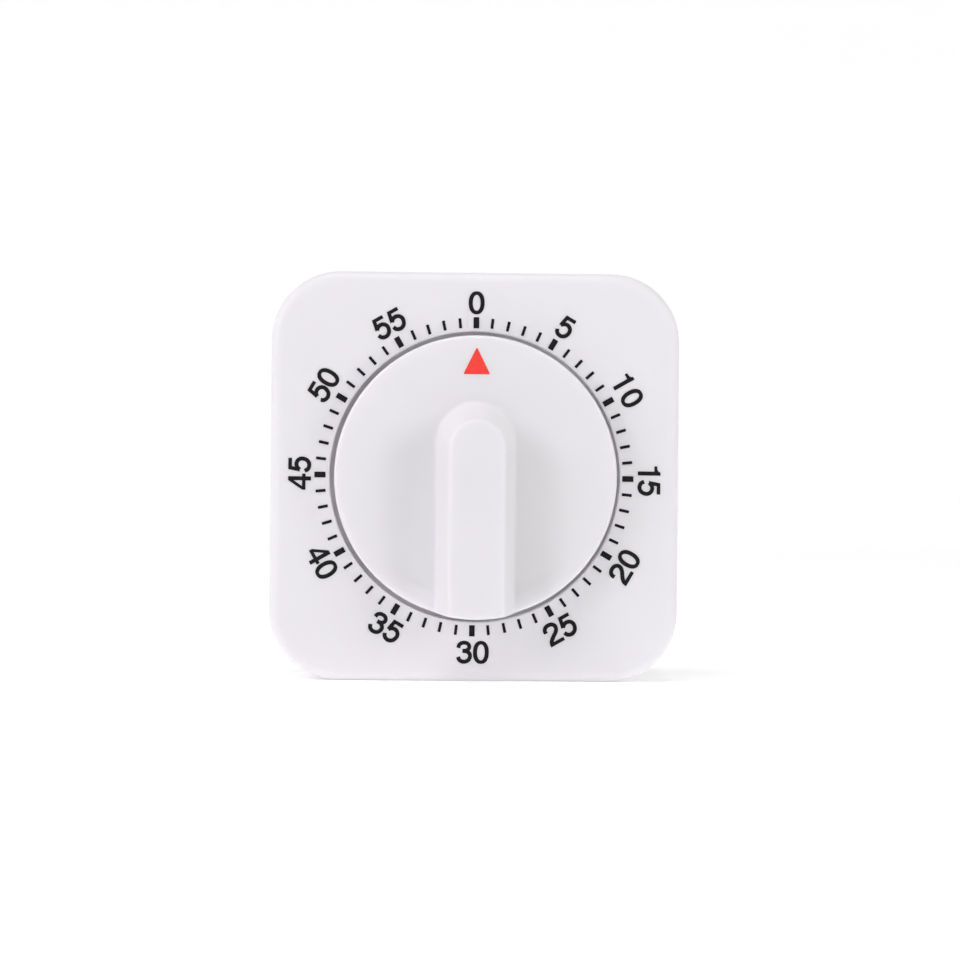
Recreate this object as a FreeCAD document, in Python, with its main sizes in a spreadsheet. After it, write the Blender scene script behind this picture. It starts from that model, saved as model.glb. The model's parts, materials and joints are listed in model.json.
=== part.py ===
import FreeCAD, Part
import math
import os
import Sketcher

# Mechanical kitchen timer, 70 mm square, standing on its lower edge.
#
# Every sub-part is drawn in the timer's own dial frame: local +Z comes out of
# the dial, local +Y runs to the 12 o'clock mark, the back face is local Z = 0
# and the winding arbor is the local Z axis.  One placement then stands the
# timer up: the dial faces -Y, +Z is up, the lower edge rests on Z = 0 and the
# origin is the middle of the bottom of the outer box.

V = FreeCAD.Vector
os.makedirs("parts", exist_ok=True)
doc = FreeCAD.newDocument("KitchenTimer")

# ---------------------------------------------------------------- dimensions
DIMS = [
    # case
    ("body_width", 70.0), ("body_corner", 11.8), ("case_front_z", 27.0),
    ("seam_z", 4.0), ("wall_thick", 2.0), ("front_edge_round", 1.65),
    ("back_edge_round", 1.2), ("seam_chamfer", 0.25),
    ("well_radius", 24.85), ("well_floor_z", 25.2), ("well_back_z", 22.5),
    ("hub_hole_radius", 4.2), ("boss_spot", 28.0), ("boss_radius", 3.6),
    ("boss_start_z", 6.3), ("cover_thick", 1.8), ("lip_height", 6.0),
    ("lip_clearance", 0.15), ("lip_thick", 1.2),
    ("screw_core", 1.0), ("screw_fit", 0.02), ("screw_head_radius", 2.3),
    ("screw_head_tall", 1.5), ("screw_tip_z", 14.0), ("counterbore_deep", 2.2),
    ("magnet_radius", 5.5), ("magnet_thick", 2.2), ("magnet_spot", 24.0),
    ("magnet_recess", 0.2), ("slot_wide", 1.8), ("slot_step", 4.2),
    ("slot_field", 13.0),
    # knob
    ("knob_radius", 24.15), ("knob_skirt_z", 25.8), ("knob_top_z", 31.0),
    ("knob_rim_round", 0.45), ("knob_wall", 1.8), ("ridge_top_z", 38.0),
    ("ridge_top_half", 4.75), ("ridge_base_half", 6.75),
    ("ridge_top_centre", 4.8), ("ridge_base_centre", 5.95),
    ("ridge_edge_round", 0.9), ("ridge_root_round", 1.0),
    ("hub_radius", 3.8), ("hub_end_z", 22.35), ("shaft_hole_end_z", 31.5),
    # arbor
    ("arbor_radius", 2.4), ("arbor_neck", 2.0), ("arbor_flat", 1.35),
    ("arbor_pivot", 1.2), ("arbor_tip_z", 31.0), ("turn_fit", 0.06),
    # movement frame
    ("rear_plate_z", 8.5), ("front_plate_z", 20.0), ("plate_thick", 1.0),
    ("plate_size", 56.0), ("plate_corner", 14.0), ("pivot_radius", 0.5),
    ("pivot_fit", 0.05), ("staff_radius", 0.8), ("pillar_radius", 1.6),
    ("pillar_neck", 0.8), ("nut_half", 1.7), ("nut_tall", 1.2),
    ("pillar_near", 21.5), ("pillar_left_x", -25.0), ("pillar_left_y", 3.0),
    # wheels
    ("main_wheel_z", 14.6), ("main_wheel_thick", 0.9),
    ("second_wheel_z", 13.0), ("third_wheel_z", 11.6), ("wheel_thick", 0.6),
    ("escape_wheel_z", 10.3), ("escape_thick", 0.5),
    ("pinion_module", 0.45), ("fine_module", 0.35),
    ("main_teeth", 80), ("second_teeth", 75), ("third_teeth", 60),
    ("pinion_teeth", 10), ("escape_teeth", 15), ("ratchet_teeth", 24),
    ("tooth_thinning", 0.045), ("arbor_circle", 20.25),
    ("escape_tip", 5.2), ("escape_root", 3.6), ("pallet_pin", 0.22),
    ("pallet_gap", 0.08), ("pallet_half_span", 42.0), ("pallet_swing", 10.0),
    ("ratchet_z", 15.65), ("ratchet_thick", 0.6),
    ("ratchet_tip", 5.5), ("ratchet_root", 4.7),
    # spring
    ("spring_z", 16.8), ("spring_tall", 2.6), ("spring_thick", 0.28),
    ("spring_inner", 3.25), ("spring_growth", 1.42), ("spring_turns", 8.875),
    ("collet_radius", 2.95),
    # cams, stop, strike
    ("cam_z", 10.4), ("cam_thick", 0.8), ("cam_radius", 6.5),
    ("stop_z", 21.35), ("stop_thick", 0.7), ("stop_reach", 13.9),
    ("stop_pin_spot", 13.0), ("stop_pin_radius", 0.5),
    ("lever_pivot_x", 15.0), ("lever_pivot_y", 9.5), ("stud_radius", 0.9),
    ("hammer_pivot_x", 21.5), ("hammer_pivot_y", 3.0),
    ("hammer_head_radius", 1.8), ("hammer_gap", 0.6),
    ("star_tip", 4.5), ("star_z", 11.8), ("star_teeth", 12),
    ("bell_x", 0.0), ("bell_y", 6.0), ("bell_radius", 16.0),
    ("bell_back_z", 3.2), ("bell_rim_z", 7.9), ("bell_thick", 0.8),
    ("bell_round", 3.6), ("bell_post_radius", 2.0),
]
sheet = doc.addObject("Spreadsheet::Sheet", "Dims")
D = {}
for row, (alias, value) in enumerate(DIMS, start=1):
    sheet.set("A%d" % row, alias)
    sheet.set("B%d" % row, repr(value))
    sheet.setAlias("B%d" % row, alias)
    D[alias] = float(value)
doc.recompute()

STAND = FreeCAD.Placement(V(0, 19.0, D["body_width"] / 2),
                          FreeCAD.Rotation(V(1, 0, 0), 90))


def ev(expression):
    """Value of an expression written in the sheet's names."""
    if isinstance(expression, (int, float)):
        return float(expression)
    return float(eval_names(expression))


def eval_names(text):
    # sums, differences, products and quotients of names and numbers
    tokens = text.replace("(", " ( ").replace(")", " ) ")
    for sign in "+*/":
        tokens = tokens.replace(sign, " " + sign + " ")
    tokens = tokens.replace("-", " - ").split()
    pos = [0]

    def factor():
        word = tokens[pos[0]]
        pos[0] += 1
        if word == "(":
            value = total()
            pos[0] += 1
            return value
        if word == "-":
            return -factor()
        if word in D:
            return D[word]
        return float(word)

    def product():
        value = factor()
        while pos[0] < len(tokens) and tokens[pos[0]] in "*/":
            sign = tokens[pos[0]]
            pos[0] += 1
            other = factor()
            value = value * other if sign == "*" else value / other
        return value

    def total():
        value = product()
        while pos[0] < len(tokens) and tokens[pos[0]] in "+-":
            sign = tokens[pos[0]]
            pos[0] += 1
            other = product()
            value = value + other if sign == "+" else value - other
        return value

    return total()


def bound(text):
    """The same expression with each name read from the sheet."""
    out, word = "", ""
    for ch in text + " ":
        if ch.isalnum() or ch in "_.":
            word += ch
        else:
            out += ("Dims." + word) if word in D else word
            word = ""
            out += ch
    return out.strip()


def drive(obj, prop, expression):
    if isinstance(expression, (int, float)):
        expression = repr(float(expression))
    obj.setExpression(prop, bound(expression))


# ------------------------------------------------------------ body and sketch
def new_body(name):
    body = doc.addObject("PartDesign::Body", name)
    body.Label = name
    return body


def plane(body, role="XY_Plane"):
    return [f for f in body.Origin.OriginFeatures if f.Role == role][0]


counter = [0]


def sketch(body, z="0"):
    counter[0] += 1
    sk = body.newObject("Sketcher::SketchObject", "Sketch%03d" % counter[0])
    sk.AttachmentSupport = [(plane(body), "")]
    sk.MapMode = "FlatFace"
    sk.AttachmentOffset = FreeCAD.Placement(V(0, 0, ev(z)), FreeCAD.Rotation())
    drive(sk, "AttachmentOffset.Base.z", z)
    return sk


def place_point(sk, geo, pos, x, y):
    for kind, val, axis in (("DistanceX", x, -2), ("DistanceY", y, -1)):
        number = ev(val)
        if abs(number) < 1e-9:
            sk.addConstraint(Sketcher.Constraint("PointOnObject", geo, pos, axis))
            continue
        c = sk.addConstraint(Sketcher.Constraint(kind, -1, 1, geo, pos, number))
        if not isinstance(val, (int, float)):
            drive(sk, "Constraints[%d]" % c, val)


def circle(sk, r, x=0, y=0):
    g = sk.addGeometry(Part.Circle(V(ev(x), ev(y), 0), V(0, 0, 1), ev(r)), False)
    place_point(sk, g, 3, x, y)
    c = sk.addConstraint(Sketcher.Constraint("Radius", g, ev(r)))
    drive(sk, "Constraints[%d]" % c, r)
    return g


def rounded(sk, wide, tall, radius, x=0.0, y=0.0):
    """Rounded rectangle about the sketch origin (or about a fixed point)."""
    w, t, r = ev(wide) / 2, ev(tall) / 2, ev(radius)
    ln = [((-w + r, -t), (w - r, -t)), ((w, -t + r), (w, t - r)),
          ((w - r, t), (-w + r, t)), ((-w, t - r), (-w, -t + r))]
    ac = [((w - r, -t + r), -90, 0), ((w - r, t - r), 0, 90),
          ((-w + r, t - r), 90, 180), ((-w + r, -t + r), 180, 270)]
    lines = [sk.addGeometry(Part.LineSegment(V(a[0] + x, a[1] + y, 0),
                                             V(b[0] + x, b[1] + y, 0)), False)
             for a, b in ln]
    arcs = [sk.addGeometry(Part.ArcOfCircle(
        Part.Circle(V(c[0] + x, c[1] + y, 0), V(0, 0, 1), r),
        math.radians(a0), math.radians(a1)), False) for c, a0, a1 in ac]
    K = Sketcher.Constraint
    for i in range(4):
        sk.addConstraint(K("Tangent", lines[i], 2, arcs[i], 1))
        sk.addConstraint(K("Tangent", arcs[i], 2, lines[(i + 1) % 4], 1))
    sk.addConstraint(K("Horizontal", lines[0]))
    sk.addConstraint(K("Vertical", lines[1]))
    for i in range(3):
        sk.addConstraint(K("Equal", arcs[i], arcs[i + 1]))
    if x == 0.0 and y == 0.0:
        sk.addConstraint(K("Symmetric", lines[0], 1, lines[2], 1, -1, 1))
    c = sk.addConstraint(K("Radius", arcs[0], r))
    drive(sk, "Constraints[%d]" % c, radius)
    c = sk.addConstraint(K("DistanceX", lines[3], 1, lines[1], 1, 2 * w))
    drive(sk, "Constraints[%d]" % c, wide)
    c = sk.addConstraint(K("DistanceY", lines[0], 1, lines[2], 1, 2 * t))
    drive(sk, "Constraints[%d]" % c, tall)


def outline(sk, pts):
    n = len(pts)
    sk.addGeometry([Part.LineSegment(V(pts[i][0], pts[i][1], 0),
                                     V(pts[(i + 1) % n][0], pts[(i + 1) % n][1], 0))
                    for i in range(n)], False)


def pad(body, sk, length):
    f = body.newObject("PartDesign::Pad", "Pad%03d" % counter[0])
    f.Profile = sk
    f.Length = ev(length)
    drive(f, "Length", length)
    body.Tip = f
    doc.recompute()
    return f


def pocket(body, sk, length):
    """Cut from the sketch plane towards local +Z."""
    before = body.Shape.Volume
    f = body.newObject("PartDesign::Pocket", "Pocket%03d" % counter[0])
    f.Profile = sk
    f.Length = ev(length)
    f.Reversed = True
    drive(f, "Length", length)
    body.Tip = f
    doc.recompute()
    if body.Shape.Volume >= before - 1e-6:
        raise RuntimeError("pocket removed nothing in " + body.Label)
    return f


def dress(body, kind, size, pick):
    """Fillet or chamfer the edges of the body's tip that pick() accepts."""
    base = body.Tip
    names = ["Edge%d" % (i + 1) for i, e in enumerate(base.Shape.Edges) if pick(e)]
    if not names:
        raise RuntimeError("no edge to dress in " + body.Label)
    counter[0] += 1
    f = body.newObject("PartDesign::" + kind, "%s%03d" % (kind, counter[0]))
    f.Base = (base, names)
    prop = "Radius" if kind == "Fillet" else "Size"
    setattr(f, prop, ev(size))
    drive(f, prop, size)
    body.Tip = f
    doc.recompute()
    return f


def disc(body, r, z, length, x=0, y=0):
    sk = sketch(body, z)
    circle(sk, r, x, y)
    return pad(body, sk, length)


def bore(body, r, z, length, x=0, y=0):
    sk = sketch(body, z)
    circle(sk, r, x, y)
    return pocket(body, sk, length)


def many(body, spots, r, z, length, cut=False):
    sk = sketch(body, z)
    for x, y in spots:
        circle(sk, r, x, y)
    return (pocket if cut else pad)(body, sk, length)


def flat_at(e, z, tol=1e-3):
    b = e.BoundBox
    return abs(b.ZMin - z) < tol and abs(b.ZMax - z) < tol


nodes = []


def done(obj, name=None):
    if name:
        obj.Label = name
    obj.Placement = STAND
    nodes.append(obj)
    return obj


# --------------------------------------------------------- Part-made hardware
def cyl(name, r, tall, x, y, z):
    c = doc.addObject("Part::Cylinder", name)
    drive(c, "Radius", r)
    drive(c, "Height", tall)
    c.Placement.Base = V(ev(x), ev(y), ev(z))
    for axis, val in zip("xyz", (x, y, z)):
        drive(c, "Placement.Base." + axis, val)
    return c


def cone(name, r1, r2, tall, x, y, z):
    c = doc.addObject("Part::Cone", name)
    drive(c, "Radius1", r1)
    drive(c, "Radius2", r2)
    drive(c, "Height", tall)
    c.Placement.Base = V(ev(x), ev(y), ev(z))
    for axis, val in zip("xyz", (x, y, z)):
        drive(c, "Placement.Base." + axis, val)
    return c


def box(name, wide, deep, tall, x, y, z, turn=0):
    """Box centred on x, y with its underside at z."""
    c = doc.addObject("Part::Box", name)
    drive(c, "Length", wide)
    drive(c, "Width", deep)
    drive(c, "Height", tall)
    rot = FreeCAD.Rotation(V(0, 0, 1), turn)
    half = rot.multVec(V(ev(wide) / 2, ev(deep) / 2, 0))
    c.Placement = FreeCAD.Placement(V(ev(x) - half.x, ev(y) - half.y, ev(z)), rot)
    return c


def fuse(name, shapes):
    f = doc.addObject("Part::MultiFuse", name)
    f.Shapes = shapes
    return f


def cut(name, base, tool):
    f = doc.addObject("Part::Cut", name)
    f.Base = base
    f.Tool = tool
    return f


def group(name, items):
    g = doc.addObject("Part::Compound", name)
    g.Links = items
    g.Label = name
    doc.recompute()
    return done(g)


def polar(r, deg):
    return (r * math.cos(math.radians(deg)), r * math.sin(math.radians(deg)))


# ------------------------------------------------------------- arbor positions
ring = D["arbor_circle"]


def along(chord):
    return math.degrees(2 * math.asin(chord / (2 * ring)))


fine = D["fine_module"]
a_second = 225.0
a_third = a_second + along((D["second_teeth"] + D["pinion_teeth"]) * fine / 2)
a_escape = a_third + along((D["third_teeth"] + D["pinion_teeth"]) * fine / 2)
pin_r = D["escape_tip"] + D["pallet_pin"] + D["pallet_gap"]
pallet_reach = pin_r / math.cos(math.radians(D["pallet_half_span"]))
a_pallet = a_escape + along(pallet_reach)
SECOND = polar(ring, a_second)
THIRD = polar(ring, a_third)
ESCAPE = polar(ring, a_escape)
PALLET = polar(ring, a_pallet)
STRIKE = polar(ring, 45.0)
HAMMER = (D["hammer_pivot_x"], D["hammer_pivot_y"])
LEVER = (D["lever_pivot_x"], D["lever_pivot_y"])
SPRING_POST = polar(17.3, 165.0)
STOP_PIN = (0.0, D["stop_pin_spot"])
boss = D["boss_spot"]
BOSSES = [(boss, boss), (-boss, boss), (-boss, -boss), (boss, -boss)]
MOUNTS = [(-8.0, 22.5), (23.0, -6.0), (-21.5, -10.0)]
PILLARS = [(21.5, 21.5), (-21.5, 21.5), (21.5, -21.5), (-25.0, 3.0)]


def heading(a, b):
    return math.degrees(math.atan2(b[1] - a[1], b[0] - a[0]))


# ------------------------------------------------------------------ front case
b = new_body("front_case")
sk = sketch(b, "seam_z")
rounded(sk, "body_width", "body_width", "body_corner")
pad(b, sk, "case_front_z - seam_z")
dress(b, "Fillet", "front_edge_round", lambda e: flat_at(e, D["case_front_z"]))
sk = sketch(b, "seam_z")
rounded(sk, "body_width - 2 * wall_thick", "body_width - 2 * wall_thick",
        "body_corner - wall_thick")
pocket(b, sk, "case_front_z - wall_thick - seam_z")
disc(b, "well_radius + wall_thick - 0.5", "well_back_z",
     "case_front_z - wall_thick - well_back_z + 0.5")
bore(b, "well_radius", "well_floor_z", "case_front_z - well_floor_z + 1")
bore(b, "hub_hole_radius", "well_back_z - 0.5", "4")
many(b, BOSSES, "boss_radius", "boss_start_z", "case_front_z - wall_thick - boss_start_z + 0.5")
many(b, BOSSES, "screw_core + screw_fit", "boss_start_z - 1", "screw_tip_z - boss_start_z + 2", cut=True)
many(b, MOUNTS, "2.3", "front_plate_z + plate_thick", "well_back_z - front_plate_z - plate_thick + 0.4")
many(b, MOUNTS, "0.8 + screw_fit", "front_plate_z + plate_thick - 0.5", "2.6", cut=True)
dress(b, "Fillet", "0.25", lambda e: flat_at(e, D["case_front_z"])
      and abs(e.BoundBox.XLength - 2 * D["well_radius"]) < 0.2)
done(b)

# ------------------------------------------------------------------ rear cover
b = new_body("rear_cover")
sk = sketch(b, "0")
rounded(sk, "body_width", "body_width", "body_corner")
pad(b, sk, "seam_z")
dress(b, "Fillet", "back_edge_round", lambda e: flat_at(e, 0.0))
dress(b, "Chamfer", "seam_chamfer", lambda e: flat_at(e, D["seam_z"]))
sk = sketch(b, "cover_thick")
rounded(sk, "body_width - 2 * wall_thick - 2 * lip_clearance - 2 * lip_thick",
        "body_width - 2 * wall_thick - 2 * lip_clearance - 2 * lip_thick",
        "body_corner - wall_thick - lip_clearance - lip_thick")
pocket(b, sk, "seam_z - cover_thick + 1")
sk = sketch(b, "seam_z - 0.2")
rounded(sk, "body_width - 2 * wall_thick - 2 * lip_clearance",
        "body_width - 2 * wall_thick - 2 * lip_clearance",
        "body_corner - wall_thick - lip_clearance")
rounded(sk, "body_width - 2 * wall_thick - 2 * lip_clearance - 2 * lip_thick",
        "body_width - 2 * wall_thick - 2 * lip_clearance - 2 * lip_thick",
        "body_corner - wall_thick - lip_clearance - lip_thick")
pad(b, sk, "lip_height - seam_z + 0.2")
many(b, BOSSES, "boss_radius - 0.2", "0.6", "seam_z - 0.8")
many(b, BOSSES, "boss_radius - 0.8", "0.6", "boss_start_z - 0.6")
many(b, [(D["magnet_spot"], 0.0), (-D["magnet_spot"], 0.0)], "magnet_radius + 1.2", "cover_thick - 0.5", "2.2")
many(b, BOSSES, "screw_core + 0.2", "-1", "boss_start_z + 2", cut=True)
many(b, BOSSES, "screw_head_radius + 0.2", "-1", "counterbore_deep + 1", cut=True)
many(b, [(D["magnet_spot"], 0.0), (-D["magnet_spot"], 0.0)], "magnet_radius + 0.02", "-1",
     "1 + magnet_recess + magnet_thick", cut=True)
sk = sketch(b, "-1")
for k in range(-2, 3):
    off = k * D["slot_step"]
    half = math.sqrt(D["slot_field"] ** 2 - off ** 2)
    w = D["slot_wide"] / 2
    y0 = D["bell_y"] + off
    x1 = half - w
    for (ax, ay), (bx, by) in (((-x1, y0 - w), (x1, y0 - w)), ((x1, y0 + w), (-x1, y0 + w))):
        sk.addGeometry(Part.LineSegment(V(ax, ay, 0), V(bx, by, 0)), False)
    sk.addGeometry(Part.ArcOfCircle(Part.Circle(V(x1, y0, 0), V(0, 0, 1), w), -math.pi / 2, math.pi / 2), False)
    sk.addGeometry(Part.ArcOfCircle(Part.Circle(V(-x1, y0, 0), V(0, 0, 1), w), math.pi / 2, 1.5 * math.pi), False)
pocket(b, sk, "cover_thick + 1.2")
done(b)

# ------------------------------------------------- cover screws, magnets, etc.
items = []
for i, (x, y) in enumerate(BOSSES):
    head = cyl("ScrewHead%d" % i, "screw_head_radius", "screw_head_tall", x, y, "counterbore_deep - screw_head_tall")
    shank = cyl("ScrewShank%d" % i, "screw_core", "screw_tip_z - counterbore_deep", x, y, "counterbore_deep")
    tip = cone("ScrewTip%d" % i, "screw_core", 0.3, 0.8, x, y, "screw_tip_z")
    whole = fuse("ScrewSolid%d" % i, [head, shank, tip])
    one = cut("ScrewCrossA%d" % i, whole, box("SlotA%d" % i, 2.8, 0.6, 1.0, x, y, 0.5, 20 + 37 * i))
    one = cut("ScrewCross%d" % i, one, box("SlotB%d" % i, 2.8, 0.6, 1.0, x, y, 0.5, 110 + 37 * i))
    items.append(one)
doc.recompute()
group("cover_screws", items)

group("magnets", [cyl("Magnet%d" % i, "magnet_radius", "magnet_thick", sx * D["magnet_spot"], 0, "magnet_recess")
                  for i, sx in enumerate((1, -1))])

items = []
for i, (x, y) in enumerate(MOUNTS):
    head = cyl("FixHead%d" % i, 1.6, 1.0, x, y, "front_plate_z - 1.0")
    shank = cyl("FixShank%d" % i, 0.8, 2.8, x, y, "front_plate_z")
    whole = fuse("FixSolid%d" % i, [head, shank])
    items.append(cut("Fix%d" % i, whole, box("FixSlot%d" % i, 3.4, 0.4, 0.5, x, y, "front_plate_z - 1.0", 25 + 50 * i)))
doc.recompute()
group("movement_screws", items)

# ---------------------------------------------------------------- knob
# outer form: a disc with a tapering grip that runs out flush with the rim
def grip_outline(half, centre_y, z):
    low = -(D["knob_radius"] + 3)
    arc = Part.Arc(V(half, centre_y, z), V(0, centre_y + half, z), V(-half, centre_y, z)).toShape()
    return Part.Wire([arc, Part.makeLine(V(-half, centre_y, z), V(-half, low, z)),
                      Part.makeLine(V(-half, low, z), V(half, low, z)),
                      Part.makeLine(V(half, low, z), V(half, centre_y, z))])


kr, base_z, top = D["knob_radius"], D["knob_top_z"], D["ridge_top_z"]
grow = 0.5 / (top - base_z)
grip = Part.makeLoft([
    grip_outline(D["ridge_base_half"] + grow * (D["ridge_base_half"] - D["ridge_top_half"]),
                 D["ridge_base_centre"] + grow * (D["ridge_base_centre"] - D["ridge_top_centre"]), base_z - 0.5),
    grip_outline(D["ridge_top_half"], D["ridge_top_centre"], top)], True, True)
grip = grip.common(Part.makeCylinder(kr, top - D["knob_skirt_z"], V(0, 0, D["knob_skirt_z"])))
form = Part.makeCylinder(kr, base_z - D["knob_skirt_z"], V(0, 0, D["knob_skirt_z"])).fuse(grip).removeSplitter()


def mid_of(e):
    return e.valueAt((e.FirstParameter + e.LastParameter) / 2)


def inside_rim(e):
    return math.hypot(mid_of(e).x, mid_of(e).y) < kr - 0.3


def outer_top(e):
    pts = [e.valueAt(e.FirstParameter + t * (e.LastParameter - e.FirstParameter)) for t in (0, 0.3, 0.7, 1)]
    return all(abs(math.hypot(q.x, q.y) - kr) < 0.02 for q in pts) and min(q.z for q in pts) > base_z - 0.01


form = form.makeFillet(D["ridge_edge_round"], [e for e in form.Edges if flat_at(e, top) and inside_rim(e)])
form = form.makeFillet(D["ridge_root_round"], [e for e in form.Edges if flat_at(e, base_z) and inside_rim(e)])
form = form.makeFillet(D["knob_rim_round"], [e for e in form.Edges if outer_top(e)])
knob_form = doc.addObject("Part::Feature", "KnobForm")
knob_form.Shape = form
kb = new_body("knob")
kb.BaseFeature = knob_form
doc.recompute()
sk = sketch(kb, "knob_skirt_z - 1")
circle(sk, "knob_radius - knob_wall")
circle(sk, "hub_radius")
pocket(kb, sk, "knob_top_z - knob_wall - knob_skirt_z + 1")
sk = sketch(kb, "knob_top_z - knob_wall - 0.5")
rounded(sk, "6.6", "14.5", "2", 0.0, -13.5)
pocket(kb, sk, "ridge_top_z - knob_top_z + 0.3")
disc(kb, "hub_radius", "hub_end_z", "knob_top_z - knob_wall - hub_end_z + 0.3")
# D-shaped hole for the shaft
sk = sketch(kb, "hub_end_z - 1")
rr = D["arbor_neck"] + 0.02
fl = D["arbor_flat"] + 0.02 + 0.3
ang = math.acos(fl / rr)
sk.addGeometry(Part.ArcOfCircle(Part.Circle(V(0, 0, 0), V(0, 0, 1), rr), math.pi / 2 + ang,
                                math.pi / 2 - ang + 2 * math.pi), False)
sk.addGeometry(Part.LineSegment(V(rr * math.cos(math.pi / 2 - ang), fl, 0),
                                V(rr * math.cos(math.pi / 2 + ang), fl, 0)), False)
pocket(kb, sk, "shaft_hole_end_z - hub_end_z + 1")
done(kb)

# ---------------------------------------------------------------- arbor
b = new_body("arbor")
disc(b, "arbor_pivot", "rear_plate_z - 0.2", "plate_thick + 0.5")
disc(b, "arbor_radius", "rear_plate_z + plate_thick + 0.3", "front_plate_z - rear_plate_z - plate_thick - 0.5")
disc(b, "arbor_neck", "front_plate_z - 0.3", "arbor_tip_z - front_plate_z + 0.3")
sk = sketch(b, "hub_end_z")
f0 = D["arbor_flat"]
outline(sk, [(-5, f0), (5, f0), (5, 5), (-5, 5)])
pocket(b, sk, "arbor_tip_z - hub_end_z + 1")
dress(b, "Chamfer", "0.4", lambda e: flat_at(e, D["arbor_tip_z"]))
done(b)

# leaf that takes up the play on the shaft's flat
b = new_body("knob_leaf")
sk = sketch(b, "hub_end_z + 0.4")
outline(sk, [(-1.1, f0 + 0.01), (1.1, f0 + 0.01), (1.1, f0 + 0.29), (-1.1, f0 + 0.29)])
pad(b, sk, "7.5")
done(b)

# arm on the shaft that meets the stop pin at both ends of the dial
b = new_body("stop_arm")
disc(b, "4.4", "stop_z", "stop_thick")
sk = sketch(b, "stop_z")
arm_at = 85.0
ca, sa = math.cos(math.radians(arm_at)), math.sin(math.radians(arm_at))
reach = D["stop_reach"]
outline(sk, [(ca * u - sa * v, sa * u + ca * v) for u, v in
             ((2.2, -1.3), (reach, -0.5), (reach, 0.5), (2.2, 1.3))])
pad(b, sk, "stop_thick")
bore(b, "arbor_neck", "stop_z - 1", "stop_thick + 2")
done(b)

# ratchet wheel: steep faces lead when the shaft runs back
b = new_body("ratchet_wheel")
n = int(D["ratchet_teeth"])
pts = []
for k in range(n):
    a0 = 360.0 * k / n
    pts.append(polar(D["ratchet_root"], a0))
    for t in (0.35, 0.7):
        pts.append(polar(D["ratchet_root"] + t * (D["ratchet_tip"] - D["ratchet_root"]), a0 + t * 360.0 / n))
    pts.append(polar(D["ratchet_tip"], a0 + 360.0 / n - 0.6))
    pts.append(polar(D["ratchet_tip"], a0 + 360.0 / n))
sk = sketch(b, "ratchet_z")
outline(sk, pts)
pad(b, sk, "ratchet_thick")
bore(b, "arbor_radius", "ratchet_z - 1", "ratchet_thick + 2")
done(b)

# cam with the notch that lets the strike lever drop at zero
b = new_body("release_cam")
disc(b, "cam_radius", "cam_z", "cam_thick")
sk = sketch(b, "cam_z - 1")
outline(sk, [(-0.9, 4.2), (1.9, 4.2), (1.9, 8.0), (-0.9, 8.0)])
pocket(b, sk, "cam_thick + 2")
bore(b, "arbor_radius", "cam_z - 1", "cam_thick + 2")
many(b, [polar(4.4, a) for a in (210, 330)], "0.9", "cam_z - 1", "cam_thick + 2", cut=True)
done(b)

# collar that takes the inner end of the mainspring
b = new_body("spring_collet")
disc(b, "collet_radius", "spring_z", "spring_tall")
bore(b, "arbor_radius", "spring_z - 1", "spring_tall + 2")
done(b)


# ---------------------------------------------------------------- wheels
def gear_points(teeth, module, addendum, dedendum, thinning, tooth_at):
    """Involute outline with 20 degree flanks; a tooth is centred on tooth_at."""
    teeth = int(teeth)
    pitch_r = teeth * module / 2
    base_r = pitch_r * math.cos(math.radians(20))
    tip_r = pitch_r + addendum * module
    root_r = pitch_r - dedendum * module

    def inv(r):
        if r <= base_r:
            return 0.0
        a = math.acos(base_r / r)
        return math.tan(a) - a

    half_pitch = (math.pi * module / 2 - thinning) / (2 * pitch_r)
    lift = inv(pitch_r)

    def half(r):
        return half_pitch + lift - inv(max(r, base_r))

    start = max(base_r, root_r)
    radii = [root_r] if root_r < base_r - 1e-6 else []
    radii += [start + (tip_r - start) * t for t in (0.0, 0.34, 0.68, 1.0)]
    pts = []
    for k in range(teeth):
        mid = math.radians(tooth_at) + 2 * math.pi * k / teeth
        for r in radii:
            pts.append((r * math.cos(mid - half(r)), r * math.sin(mid - half(r))))
        for r in reversed(radii):
            pts.append((r * math.cos(mid + half(r)), r * math.sin(mid + half(r))))
    return pts


def shift(pts, centre):
    return [(x + centre[0], y + centre[1]) for x, y in pts]


def window(a0, a1, r0, r1, steps=8):
    pts = [polar(r1, a0 + (a1 - a0) * i / steps) for i in range(steps + 1)]
    inner0, inner1 = a0 + 0.0, a1 - 0.0
    pts += [polar(r0, inner1 - (inner1 - inner0) * i / 4) for i in range(5)]
    return pts


def wheel(name, centre, teeth, module, gap_toward, z, thick, hub, rim, inner, bore_r, spokes, turn):
    body = new_body(name)
    sk = sketch(body, z)
    tooth_at = gap_toward + 180.0 / teeth
    outline(sk, shift(gear_points(teeth, module, 0.6, 1.2, D["tooth_thinning"] * module / 0.45, tooth_at), centre))
    pad(body, sk, thick)
    sk = sketch(body, z + " - 1")
    for s in range(spokes):
        a0 = turn + 360.0 * s / spokes
        span = 360.0 / spokes
        half_out = math.degrees(1.1 / rim)
        half_in = math.degrees(1.1 / inner)
        pts = [polar(rim, a0 + half_out + (span - 2 * half_out) * i / 10) for i in range(11)]
        pts += [polar(inner, a0 + span - half_in - (span - 2 * half_in) * i / 5) for i in range(6)]
        outline(sk, shift(pts, centre))
    pocket(body, sk, thick + " + 2")
    bore(body, bore_r, z + " - 1", thick + " + 2", centre[0], centre[1])
    return body


mw = wheel("main_wheel", (0.0, 0.0), D["main_teeth"], D["pinion_module"], 225.0, "main_wheel_z", "main_wheel_thick",
           3.5, 15.6, 11.6, "arbor_radius + turn_fit", 6, 15.0)
CLICK = (8.35, 6.6)
bore(mw, "0.7", "main_wheel_z - 1", "main_wheel_thick + 2", CLICK[0], CLICK[1])
done(mw)

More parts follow.
